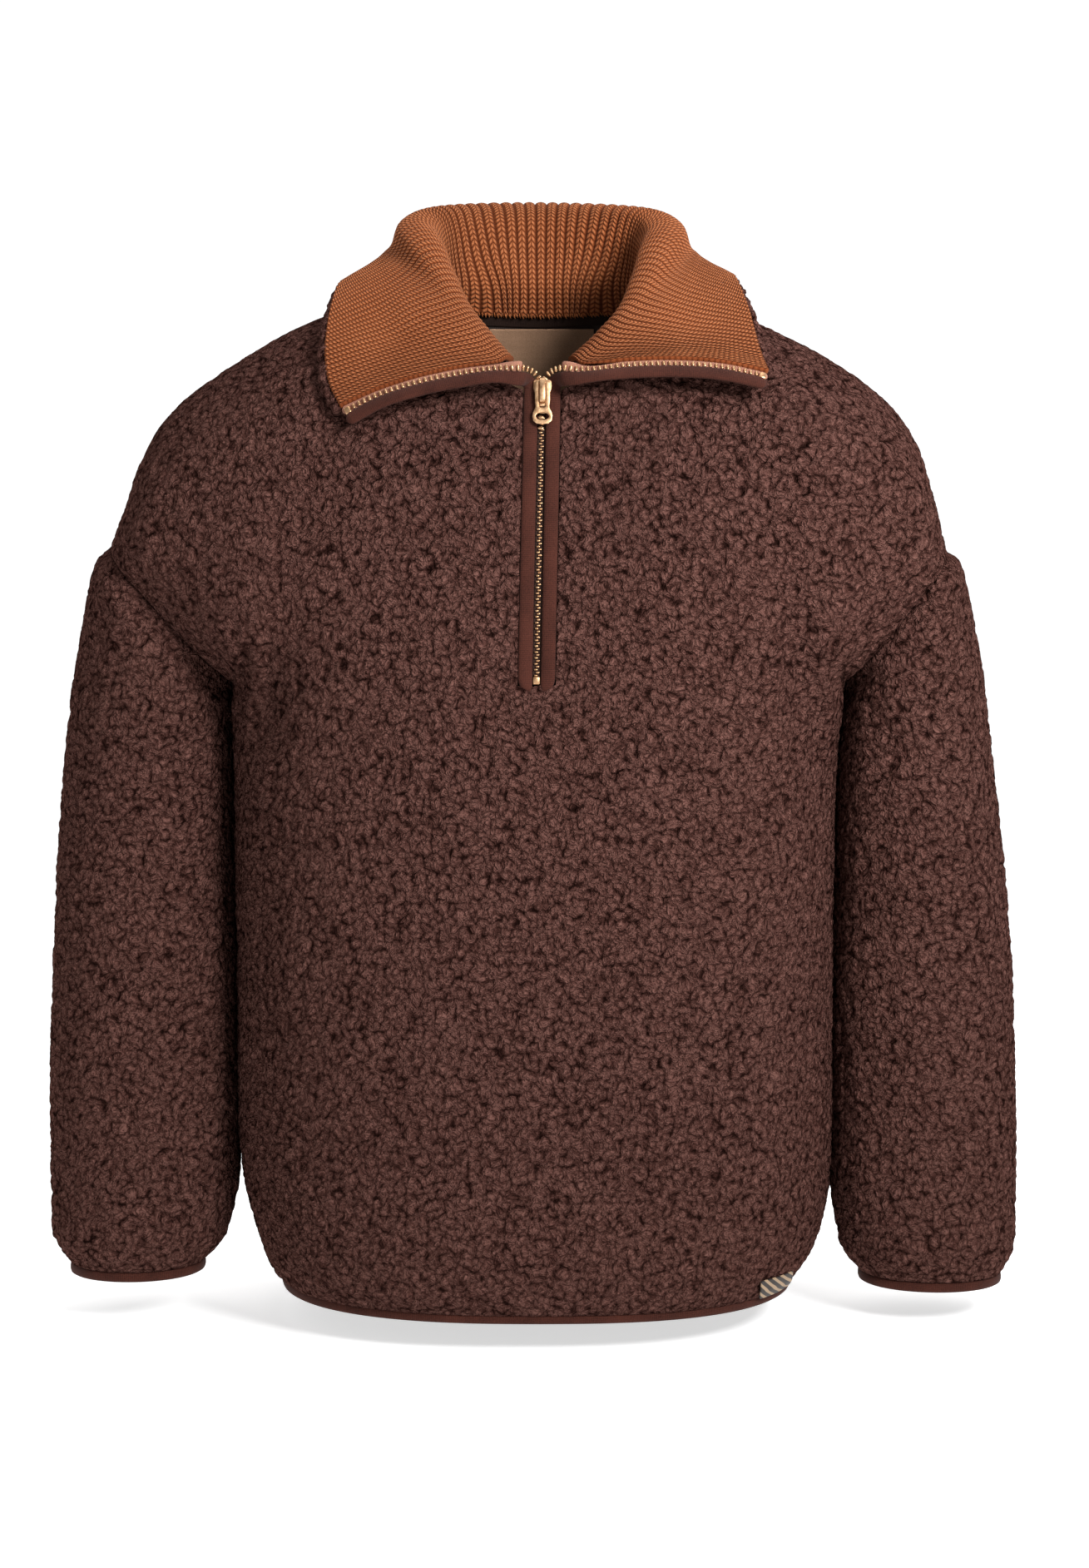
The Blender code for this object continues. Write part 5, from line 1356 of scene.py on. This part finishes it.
# %% A swept strip
def sweep(name, line, profile, material, ring=False, taper=0, body="garment", width=None):
    """Sweeps a closed profile of (across, out) points along a line: centre, across, normal.

    width gives each place's share of the profile's full width, kept at its high edge.
    """
    centre, across, normal = line
    profile = np.asarray(profile, float)
    closed = np.concatenate((profile, profile[:1]))
    share = np.ones(len(centre)) if width is None else width
    reach = closed[:, 0].max() + (closed[None, :, 0] - closed[:, 0].max()) * share[:, None]
    rise = closed[None, :, 1] * (0.4 + 0.6 * share[:, None])
    rings = centre[:, None] + across[:, None] * reach[..., None] + normal[:, None] * rise[..., None]
    for step in range(taper):
        share = math.sin(math.pi / 2 * (step + 0.4) / taper)
        for index in (step, -1 - step):
            core = rings[index, :-1].mean(axis=0)
            rings[index] = core + (rings[index] - core) * share
    if ring:
        rings = np.concatenate((rings, rings[:1]))
    girth = np.concatenate(((0.0,), np.cumsum(np.linalg.norm(np.diff(closed, axis=0), axis=1))))
    along = np.concatenate(((0.0,), np.cumsum(np.linalg.norm(np.diff(rings.mean(axis=1), axis=0), axis=1))))
    uv = np.stack(np.broadcast_arrays(girth[None, :], along[:, None]), axis=-1)
    mesh = bpy.data.meshes.new(name)
    tube = bmesh.new()
    bmesh.ops.create_grid(tube, x_segments=len(profile), y_segments=len(rings) - 1, size=1.0)
    tube.verts.ensure_lookup_table()
    layer = tube.loops.layers.uv.new("cloth")
    flat_uv = uv.reshape(-1, 2)
    for face in tube.faces:
        for loop in face.loops:
            loop[layer].uv = flat_uv[loop.vert.index]
    for vertex, point in zip(tube.verts, rings.reshape(-1, 3)):
        vertex.co = Vector(point)
    bmesh.ops.remove_doubles(tube, verts=tube.verts[:], dist=1e-6)
    if not ring:
        bmesh.ops.holes_fill(tube, edges=[edge for edge in tube.edges if edge.is_boundary])
    bmesh.ops.recalc_face_normals(tube, faces=tube.faces[:])
    tube.to_mesh(mesh)
    tube.free()
    return link(name, mesh, material, body)


def finer_line(line, spacing):
    """The same line of places and frames, read at closer places."""
    points = line[0]
    keys = np.concatenate(((0.0,), np.cumsum(np.linalg.norm(np.diff(points, axis=0), axis=1))))
    at = places_between(keys, spacing)
    read = [read_between(keys, part[:, None], at)[:, 0] for part in line]
    return read[0], unit(read[1]), unit(read[2])


def rounded(low, high, bottom, top, corner=0.45, count=16):
    """A closed rounded profile between two edges across and two heights."""
    ring = []
    for index in range(count):
        angle = 2 * math.pi * (index + 0.5) / count
        c = math.cos(angle)
        s = math.sin(angle)
        ring.append((
            (low + high) / 2 + (high - low) / 2 * math.copysign(abs(c) ** corner, c),
            (bottom + top) / 2 + (top - bottom) / 2 * math.copysign(abs(s) ** corner, s),
        ))
    return ring


# %% Bound hem and cuffs
BOUND = (
    (0.0001, 0.0), (0.0009, -0.0009), (0.0013, -0.0026), (0.0013, -0.0045), (0.0009, -0.0059),
    (-0.0003, -0.0066), (-0.0018, -0.0067), (-0.0030, -0.0062), (-0.0034, -0.0048),
    (-0.0034, -0.0020), (-0.0030, -0.0004), (-0.0018, 0.0),
)


def smooth_ring(ring, spacing):
    """A closed ring of places read at closer places."""
    wide = np.concatenate((ring[-4:], ring, ring[:5]))
    keys = np.concatenate(((0.0,), np.cumsum(np.linalg.norm(np.diff(wide[:, :3], axis=0), axis=1))))
    at = places_between(keys[4 : 5 + len(ring)] - keys[4], spacing) + keys[4]
    return read_between(keys, wide[:, None], at[:-1])[:, 0]


def bound_edge(name, ring, outward, node):
    """A bound edge under a ring of points; the strip hangs down and is rounded."""
    count_from = smooth_ring(np.concatenate((ring, outward), axis=1), 0.0022)
    centre = count_from[:, :3]
    out = unit(count_from[:, 3:])
    up = np.tile((0.0, 0.0, 1.0), (len(centre), 1))
    piece = sweep(name, (centre, out, up), BOUND, binding, ring=True)
    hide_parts(node)
    return piece


flat = np.array((1.0, 1.0, 0.0))
for side in SIDES:
    outer, _ = sleeve_grids[side]
    outward = unit(tube_normals(outer, side)[-1] * flat)
    start = outer[-1] - outward * CUFF_INSET - np.array((0.0, 0.0, 2 * SEAM))
    bound_edge(f"cuff_{side}_binding", start, outward, f"cuff_binding_{side}")
edge = np.concatenate((front[0], back[0, -2:0:-1]))
edge_inner = np.concatenate((front_inner[0], back_inner[0, -2:0:-1]))
outward = unit((edge - edge_inner) * flat)
start = edge + (edge_inner - edge) * HEM_INSET - np.array((0.0, 0.0, 2 * SEAM))
hem = bound_edge("hem_edge_binding", start, outward, "hem_binding")
print("hem binding", len(hem.data.polygons), "faces")

# %% [markdown]
# The zip: a binding covers the fleece edge on both sides and runs on under the collar flaps. Over
# it lies a woven tape with metal teeth; where the zip is closed only the teeth show.

# %% Bindings beside the zip and the tapes
BINDING_PAST_SLOT = 0.0045
zip_lines = {side: zip_line(side, collar_face, 24, 12) for side in SIDES}
fine_lines = {side: finer_line(zip_lines[side], 0.0014) for side in SIDES}
for side in SIDES:
    low = -BINDING_START - BINDING_WIDTH
    profile = rounded(low, -BINDING_START + 0.0003, -BINDING_THICKNESS, 0.0021, 0.85, 20)
    past = np.arange(BINDING_PAST_SLOT, 0.0, -0.0012)
    points = fine_lines[side][0][:1] - past[:, None] * np.array((0.0, 0.0, 1.0))
    longer = (
        np.concatenate((points, fine_lines[side][0])),
        *(np.concatenate((np.repeat(part[:1], len(past), axis=0), part)) for part in fine_lines[side][1:]),
    )
    run = np.linalg.norm(np.diff(longer[0], axis=0), axis=1).cumsum()
    run = np.concatenate(((0.0,), run))
    width = 0.30 + 0.70 * np.sqrt(np.clip(1 - (1 - np.clip(run / 0.010, 0.0, 1.0)) ** 2, 0.0, 1.0))
    strip_piece = sweep(f"zip_{side}_binding", longer, profile, binding, taper=3, width=width)
    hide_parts(f"zip_binding_{side}")
    flap_line = finer_line(tuple(part[-FALL_ROWS - 3 :] for part in zip_lines[side]), 0.0014)
    profile = rounded(-BINDING_START + PLY_GAP, TAPE_INSIDE, -0.0018, -0.0008, 0.3, 12)
    tape_piece = sweep(f"zip_{side}_tape", flap_line, profile, tape, taper=2)
    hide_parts(f"zip_tape_{side}")
print("zip line", len(fine_lines["left"][0]), "places")


# %% Teeth
def scatter(name, shape, frames, material, body="garment"):
    """Joins copies of a small shape, one at each matrix."""
    mesh = bpy.data.meshes.new(name)
    joined = bmesh.new()
    for frame_matrix in frames:
        before = len(joined.verts)
        joined.from_mesh(shape)
        joined.verts.ensure_lookup_table()
        bmesh.ops.transform(joined, matrix=frame_matrix, verts=joined.verts[before:])
    joined.to_mesh(mesh)
    joined.free()
    piece = link(name, mesh, material, body)
    return piece


def frame_at(line, distance, keys=None):
    """The matrix that stands on a line at a distance along it: x across, y ahead, z out."""
    points, across, normal = line
    if keys is None:
        keys = np.concatenate(((0.0,), np.cumsum(np.linalg.norm(np.diff(points, axis=0), axis=1))))
    place, x_axis, z_axis = (
        np.array([np.interp(distance, keys, part[:, axis]) for axis in range(3)]) for part in line
    )
    x_axis = x_axis / np.linalg.norm(x_axis)
    z_axis = z_axis - x_axis * (z_axis @ x_axis)
    z_axis = z_axis / np.linalg.norm(z_axis)
    y_axis = np.cross(z_axis, x_axis)
    matrix = Matrix(np.stack((x_axis, y_axis, z_axis), axis=1).tolist()).to_4x4()
    matrix.translation = Vector(place)
    return matrix


def tooth_shape():
    """Two round lobes joined by a waist, drawn across x; a few dozen faces."""
    mesh = bpy.data.meshes.new("tooth")
    bead = bmesh.new()
    bmesh.ops.create_uvsphere(bead, u_segments=8, v_segments=7, radius=1.0)
    for vertex in bead.verts:
        x, y, z = vertex.co
        waist = 1 - 0.38 * math.exp(-((z / 0.30) ** 2))
        vertex.co = Vector((z * 0.0021, x * waist * 0.00125, y * waist * 0.0013))
    bead.to_mesh(mesh)
    bead.free()
    return mesh


tooth = tooth_shape()
TOOTH_PITCH = 0.0037
for side in SIDES:
    line = fine_lines[side]
    keys = np.concatenate(((0.0,), np.cumsum(np.linalg.norm(np.diff(line[0], axis=0), axis=1))))
    from_here = np.interp(BEND_Z - 0.002, line[0][: len(keys) // 2, 2], keys[: len(keys) // 2])
    places = np.arange(from_here, keys[-1] - 0.006, TOOTH_PITCH)
    frames = [frame_at(line, place, keys) @ Matrix.Translation((0.0009, 0.0, 0.0004)) for place in places]
    scatter(f"teeth_{side}", tooth, frames, gold)
    stop = bmesh.new()
    bmesh.ops.create_cube(stop, size=1.0)
    bmesh.ops.scale(stop, vec=(0.0056, 0.0044, 0.0034), verts=stop.verts[:])
    bmesh.ops.bevel(
        stop, geom=stop.edges[:], offset=0.0012, segments=3, profile=0.5, affect="EDGES", material=-1
    )
    stop_mesh = bpy.data.meshes.new(f"top_stop_{side}")
    bmesh.ops.transform(stop, matrix=frame_at(line, keys[-1] - 0.0035, keys), verts=stop.verts[:])
    stop.to_mesh(stop_mesh)
    stop.free()
    piece = link(f"top_stop_{side}", stop_mesh, gold)
    print("teeth on the", side, len(places))

# %% The closed part of the zip
low = np.linspace(ZIP_END_Z, BEND_Z - SLIDER_ROOM, 60)
lip = torso_depth(np.full(len(low), SLOT), low, "left", "front")
chain_points = np.stack((zip_centre(low), -lip + 0.0005, low), axis=1)
ahead = unit(np.gradient(chain_points, axis=0))
across = np.tile((1.0, 0.0, 0.0), (len(low), 1))
chain_line = (chain_points, across, unit(np.cross(across, ahead)))
profile = rounded(-CHAIN_HALF_WIDTH, CHAIN_HALF_WIDTH, -CHAIN_THICKNESS, -0.0012, 0.4, 12)
chain_tape = sweep("zip_chain_tape", chain_line, profile, facing, taper=1)
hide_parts("zip_chain")
keys = np.concatenate(((0.0,), np.cumsum(np.linalg.norm(np.diff(chain_points, axis=0), axis=1))))
small = Matrix.Diagonal((0.62, 0.62, 0.80, 1.0))
frames = []
for index, place in enumerate(np.arange(0.006, keys[-1] - 0.001, TOOTH_PITCH / 2)):
    shift = 0.00055 if index % 2 else -0.00055
    frames.append(frame_at(chain_line, place, keys) @ Matrix.Translation((shift, 0.0, -0.0006)) @ small)
scatter("teeth_closed", tooth, frames, gold)
stop = bmesh.new()
bmesh.ops.create_cube(stop, size=1.0)
bmesh.ops.scale(stop, vec=(0.0046, 0.0050, 0.0026), verts=stop.verts[:])
bmesh.ops.bevel(
    stop, geom=stop.edges[:], offset=0.0009, segments=3, profile=0.5, affect="EDGES", material=-1
)
bmesh.ops.transform(
    stop, matrix=frame_at(chain_line, 0.0028, keys) @ Matrix.Translation((0, 0, 0.0002)), verts=stop.verts[:]
)
stop_mesh = bpy.data.meshes.new("bottom_stop")
stop.to_mesh(stop_mesh)
stop.free()
piece = link("bottom_stop", stop_mesh, gold)
print("teeth in the closed part", len(frames))

# %% [markdown]
# The slider is cast metal, so its edges are rounded. The pull tab hangs from the bridge through
# its window; it is the one part that moves.

# %% Slider and pull tab
def plate_from(rings, y_front, y_back, edge_round, segments=3):
    """A flat plate from closed outlines, the outer one and then its holes, with rounded edges."""
    plate = bmesh.new()
    edges = []
    for ring in rings:
        corners = [plate.verts.new((x, y_front, z)) for x, z in ring]
        edges += [plate.edges.new((a, b)) for a, b in zip(corners, corners[1:] + corners[:1])]
    bmesh.ops.triangle_fill(plate, use_beauty=True, edges=edges)
    grown = bmesh.ops.extrude_face_region(plate, geom=plate.faces[:])
    for item in grown["geom"]:
        if isinstance(item, bmesh.types.BMVert):
            item.co.y = y_back
    bmesh.ops.recalc_face_normals(plate, faces=plate.faces[:])
    rims = [
        edge for edge in plate.edges
        if edge.calc_face_angle(0.0) > 1.2 and abs(edge.verts[0].co.y - edge.verts[1].co.y) < 1e-6
    ]
    bmesh.ops.bevel(
        plate, geom=rims, offset=edge_round, segments=segments, profile=0.5, affect="EDGES", material=-1
    )
    return plate


def hang(plate, name, body):
    """Turns a piece so that it lies along the chest, about the middle of the hinge."""
    turn = Matrix.Translation((SLIDER_X, HINGE_Y, HINGE_Z)) @ Matrix.Rotation(HINGE_LEAN, 4, "X")
    bmesh.ops.transform(plate, matrix=turn, verts=plate.verts[:])
    mesh = bpy.data.meshes.new(name)
    plate.to_mesh(mesh)
    plate.free()
    piece = link(name, mesh, gold, body)
    return piece


slider_half = (
    (0.0012, 0.0022), (0.0046, 0.0022), (0.0059, 0.0012), (0.0059, -0.0030),
    (0.0048, -0.0075), (0.0048, -0.0135), (0.0042, -0.0155),
)
ring = [(0.0, 0.0012)] + list(slider_half) + [(-x, z) for x, z in slider_half[::-1]]
slider = hang(plate_from([ring], BRIDGE_GAP, 0.0031, 0.0005), "slider_body", "garment")
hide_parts("slider")
bridge = bmesh.new()
profile = (
    (0.0020, 0.0025), (-0.0016, 0.0023), (-0.0028, 0.0010), (-0.0028, -0.0122),
    (-0.0020, -0.0135), (0.0020, -0.0135), (0.0020, -0.0120), (-0.0008, -0.0118),
    (-BRIDGE_GAP, -0.0108), (-BRIDGE_GAP, 0.0004), (-0.0008, 0.0014), (0.0020, 0.0015),
)
corners = [bridge.verts.new((-0.0018, y, z)) for y, z in profile]
bridge.faces.new(corners)
grown = bmesh.ops.extrude_face_region(bridge, geom=bridge.faces[:])
for item in grown["geom"]:
    if isinstance(item, bmesh.types.BMVert):
        item.co.x = 0.0018
bmesh.ops.recalc_face_normals(bridge, faces=bridge.faces[:])
rims = [edge for edge in bridge.edges if abs(edge.verts[0].co.x - edge.verts[1].co.x) < 1e-6]
bmesh.ops.bevel(
    bridge, geom=rims, offset=0.0004, segments=3, profile=0.5, affect="EDGES", material=-1
)
hang(bridge, "slider_bridge", "garment")

tab_half = (
    (0.0030, 0.0010), (0.0044, 0.0003), (0.0048, -0.0010), (0.0048, -0.0125),
    (0.0043, -0.0150), (0.0046, -0.0172), (0.0060, -0.0200), (0.0064, -0.0228),
    (0.0058, -0.0256), (0.0038, -0.0274), (0.0, -0.0279),
)
ring = [(x, z) for x, z in tab_half] + [(-x, z) for x, z in tab_half[-2::-1]]
window_half = ((0.0012, -0.0168), (0.0023, -0.0158), (0.0023, -0.0010))
window = [(x, z) for x, z in window_half] + [(-x, z) for x, z in window_half[::-1]]
hole = oval(0.0, -0.0226, 0.0042, 0.0025, 24)
tab = hang(plate_from([ring, window, hole], -0.00055, 0.00055, 0.00028), "pull_tab_plate", "pull_tab")
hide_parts("pull_tab")
print("slider and pull tab made")

# %% [markdown]
# Inside the back neck a dark facing covers the seam under the rib, and a bare woven label hangs
# from it. A small folded tag is sewn in at the hem.

# %% Dark facing along the back neck
middle_column = back_inner.shape[1] // 2
behind_neck = slice(middle_column - BACK_COLUMNS[0], middle_column + BACK_COLUMNS[0] + 1)
seam_line = back_inner[:, behind_neck]
top_band, _ = finer((seam_line, back[:, behind_neck]), (0.0015, 0.0030))
band_down = np.linalg.norm(np.diff(top_band, axis=0), axis=2).mean(axis=1)[::-1].cumsum()
band_rows = int(np.searchsorted(band_down, 0.0135))
band_grid = top_band[-band_rows - 1 :]
band_normals = unit(sheet_normals(band_grid))
band_normals = band_normals * -np.sign(band_normals[:, :, 1:2])
band_uv = np.stack(np.broadcast_arrays(
    keys_along(band_grid, 1)[None, :], keys_along(band_grid, 0)[:, None]
), axis=-1)
neck_band = cloth(
    "neck_facing", band_grid + 0.0005 * band_normals, band_grid + 0.0001 * band_normals, facing, uv=band_uv
)
print("neck facing", len(neck_band.data.polygons), "faces")

# %% Stitches along the rib's foot
STITCH_PITCH = 0.0048
STITCH_LEAN = 0.35
STITCH_SEAT = Matrix.Translation((0.0, 0.0003, -0.0004))
stitch = bpy.data.meshes.new("stitch")
loop_form = bmesh.new()
bmesh.ops.create_uvsphere(loop_form, u_segments=6, v_segments=5, radius=1.0)
for vertex in loop_form.verts:
    x, y, z = vertex.co
    vertex.co = Vector((x * 0.00042, z * 0.0021, y * 0.00042 + 0.0003 * (1 - z * z)))
loop_form.to_mesh(stitch)
loop_form.free()
foot = rib_outer[0]
foot_out = unit(fine_normals[0])
first, last = np.searchsorted(rib_shares, (0.20, 0.80))
foot_line = (foot[first:last], unit(np.gradient(foot, axis=0))[first:last], foot_out[first:last])
keys = np.concatenate(((0.0,), np.cumsum(np.linalg.norm(np.diff(foot_line[0], axis=0), axis=1))))
frames = [
    frame_at(foot_line, place, keys) @ STITCH_SEAT @ Matrix.Rotation(STITCH_LEAN, 4, "Z")
    for place in np.arange(0.002, keys[-1], STITCH_PITCH / 2)
]
scatter("foot_stitches", stitch, frames, thread)
print("stitches", len(frames))

# %% Label and tag
def patch(name, grid, across, heights, gap, thickness, material, sign, bend=None):
    """A thin patch that stands a little off a panel's surface."""
    points = sample_sheet(grid, across, heights)
    normals = unit(sheet_normals(points))
    normals = normals * sign * -np.sign(normals[:, :, 1:2])
    if bend is not None:
        points = points + normals * bend[..., None]
    outer = points + normals * (gap + thickness)
    inner = points + normals * gap
    wide = np.broadcast_to(across[None, :], outer.shape[:2])
    tall = np.broadcast_to(heights[:, None], outer.shape[:2])
    piece = cloth(name, outer, inner, material, uv=np.stack((wide, tall), axis=-1))
    rim = piece.modifiers.new("soft_edge", "BEVEL")
    rim.width = 0.0003
    rim.segments = 2
    return piece


def tag_material():
    """Beige weave with plain slanting dark bars."""
    material, tree, shader = new_material("tag_weave", 0.85, 0.0, 0.2, 0.2)
    uv = node(tree, "ShaderNodeUVMap")
    uv.uv_map = "cloth"
    parts = node(tree, "ShaderNodeSeparateXYZ", Vector=uv.outputs[0])
    slant = maths(tree, "MULTIPLY_ADD", parts.outputs[1], 0.8, parts.outputs[0])
    bars = maths(tree, "SINE", maths(tree, "MULTIPLY", slant, 2 * math.pi / 0.0056))
    edge_bars = node(tree, "ShaderNodeMapRange", Value=bars, From_Min=0.1, From_Max=0.4)
    weave = maths(tree, "SINE", maths(tree, "MULTIPLY", parts.outputs[1], 2 * math.pi / 0.0006))
    place = node(tree, "ShaderNodeTexCoord").outputs["Object"]
    grain = noise(tree, place, 1500.0, 2.0)
    grained = maths(tree, "MULTIPLY_ADD", grain, 0.25, edge_bars.outputs[0])
    mixed = maths(tree, "MULTIPLY_ADD", weave, 0.10, grained)
    colour = ramp(
        tree, maths(tree, "MULTIPLY", mixed, 0.8, clamp=True),
        (0.25, (0.020, 0.013, 0.010)), (0.75, (0.40, 0.27, 0.16)),
    )
    tree.links.new(colour, shader.inputs["Base Color"])
    bump(tree, shader, weave, 0.0002, 0.6)
    return material


tag_weave = tag_material()
label_across = np.linspace(*LABEL_ACROSS, 40)
label_heights = np.linspace(*LABEL_HEIGHTS, 26)
label = patch(
    "neck_label_woven", back_inner, label_across, label_heights, *LABEL_GAP_AND_THICKNESS, label_cloth, 1.0
)
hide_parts("neck_label")

tag_across = np.linspace(*TAG_ACROSS, 24)
tag_heights = np.linspace(*TAG_HEIGHTS, 16)
tag = patch("hem_tag_woven", front, tag_across, tag_heights, *TAG_GAP_AND_THICKNESS, tag_weave, 1.0)
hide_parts("hem_tag")
print("label and tag made")

# %% [markdown]
# A plain white studio: the floor runs up into the backdrop, one large soft light stands to the
# right in front, and a weaker one on the left keeps the shaded side readable. The backdrop glows
# a little and can be seen through from behind, so that the garment's back can be looked at.

# %% Studio
FLOOR_Z = cad_low[2] - 0.020
WALL_Y = 0.75
WALL_TOP = 3.0
FLOOR_REACH = 9.0
sweep_steps = 12
floor_mesh = bpy.data.meshes.new("studio_floor")
floor_form = bmesh.new()
corner_radius = 0.35
path = [(-FLOOR_REACH, FLOOR_Z)]
for step in range(sweep_steps + 1):
    angle = math.pi / 2 * step / sweep_steps
    forward = WALL_Y - corner_radius + corner_radius * math.sin(angle)
    path.append((forward, FLOOR_Z + corner_radius * (1 - math.cos(angle))))
path.append((WALL_Y, WALL_TOP))
ends = [floor_form.verts.new((-FLOOR_REACH, y, z)) for y, z in path]
line_edges = [floor_form.edges.new(pair) for pair in zip(ends, ends[1:])]
grown = bmesh.ops.extrude_edge_only(floor_form, edges=line_edges)
for item in grown["geom"]:
    if isinstance(item, bmesh.types.BMVert):
        item.co.x = FLOOR_REACH
floor_form.normal_update()
floor_form.faces.ensure_lookup_table()
if floor_form.faces[0].normal.z < 0:
    bmesh.ops.reverse_faces(floor_form, faces=floor_form.faces[:])
floor_form.to_mesh(floor_mesh)
floor_form.free()
floor = bpy.data.objects.new("studio_floor", floor_mesh)
bpy.context.scene.collection.objects.link(floor)
for polygon in floor_mesh.polygons:
    polygon.use_smooth = True
paper, tree, shader = new_material("pale_paper", 0.9)
place = node(tree, "ShaderNodeTexCoord").outputs["Object"]
height = node(tree, "ShaderNodeSeparateXYZ", Vector=place).outputs[2]
up_wall = node(tree, "ShaderNodeMapRange", Value=height, From_Min=FLOOR_Z + 0.02, From_Max=FLOOR_Z + 0.20)
grain = noise(tree, place, 30.0, 1.0)
pale = ramp(
    tree, maths(tree, "MULTIPLY_ADD", grain, 0.03, up_wall.outputs[0]),
    (0.0, (0.92, 0.92, 0.92)), (1.0, (0.05, 0.05, 0.05)),
)
tree.links.new(pale, shader.inputs["Base Color"])
shader.inputs["Emission Color"].default_value = (1.0, 1.0, 1.0, 1.0)
glow = maths(tree, "MULTIPLY_ADD", up_wall.outputs[0], 0.42, 0.60)
tree.links.new(glow, shader.inputs["Emission Strength"])
seen_through = tree.nodes.new("ShaderNodeBsdfTransparent")
one_sided = tree.nodes.new("ShaderNodeMixShader")
tree.links.new(tree.nodes.new("ShaderNodeNewGeometry").outputs["Backfacing"], one_sided.inputs[0])
tree.links.new(shader.outputs[0], one_sided.inputs[1])
tree.links.new(seen_through.outputs[0], one_sided.inputs[2])
tree.links.new(one_sided.outputs[0], tree.nodes["Material Output"].inputs["Surface"])
paper.cycles.emission_sampling = "NONE"
floor_mesh.materials.append(paper)


def area_light(name, place, aim, size, power, spread=math.pi):
    data = bpy.data.lights.new(name, "AREA")
    data.shape = "DISK"
    data.size = size
    data.energy = power
    data.spread = spread
    lamp = bpy.data.objects.new(name, data)
    lamp.location = place
    lamp.rotation_euler = (Vector(aim) - Vector(place)).to_track_quat("-Z", "Y").to_euler()
    bpy.context.scene.collection.objects.link(lamp)
    return lamp


area_light("key", (0.85, -1.30, 0.55), (0.05, 0.0, -0.20), 0.62, 5.2, math.radians(60.0))
area_light("fill", (-1.9, -1.6, 0.3), (0.0, 0.0, -0.30), 1.8, 1.5)
area_light("over", (0.1, 0.3, 1.9), (0.0, 0.0, -0.20), 1.6, 14.0)
world = bpy.data.worlds.new("studio")
world.use_nodes = True
world.node_tree.nodes["Background"].inputs["Color"].default_value = (1.0, 1.0, 1.0, 1.0)
world.node_tree.nodes["Background"].inputs["Strength"].default_value = 0.31
bpy.context.scene.world = world
bpy.context.scene.view_settings.view_transform = "Standard"
print("studio with floor at", round(FLOOR_Z, 3))

# %% [markdown]

# %% End
print("scene made")
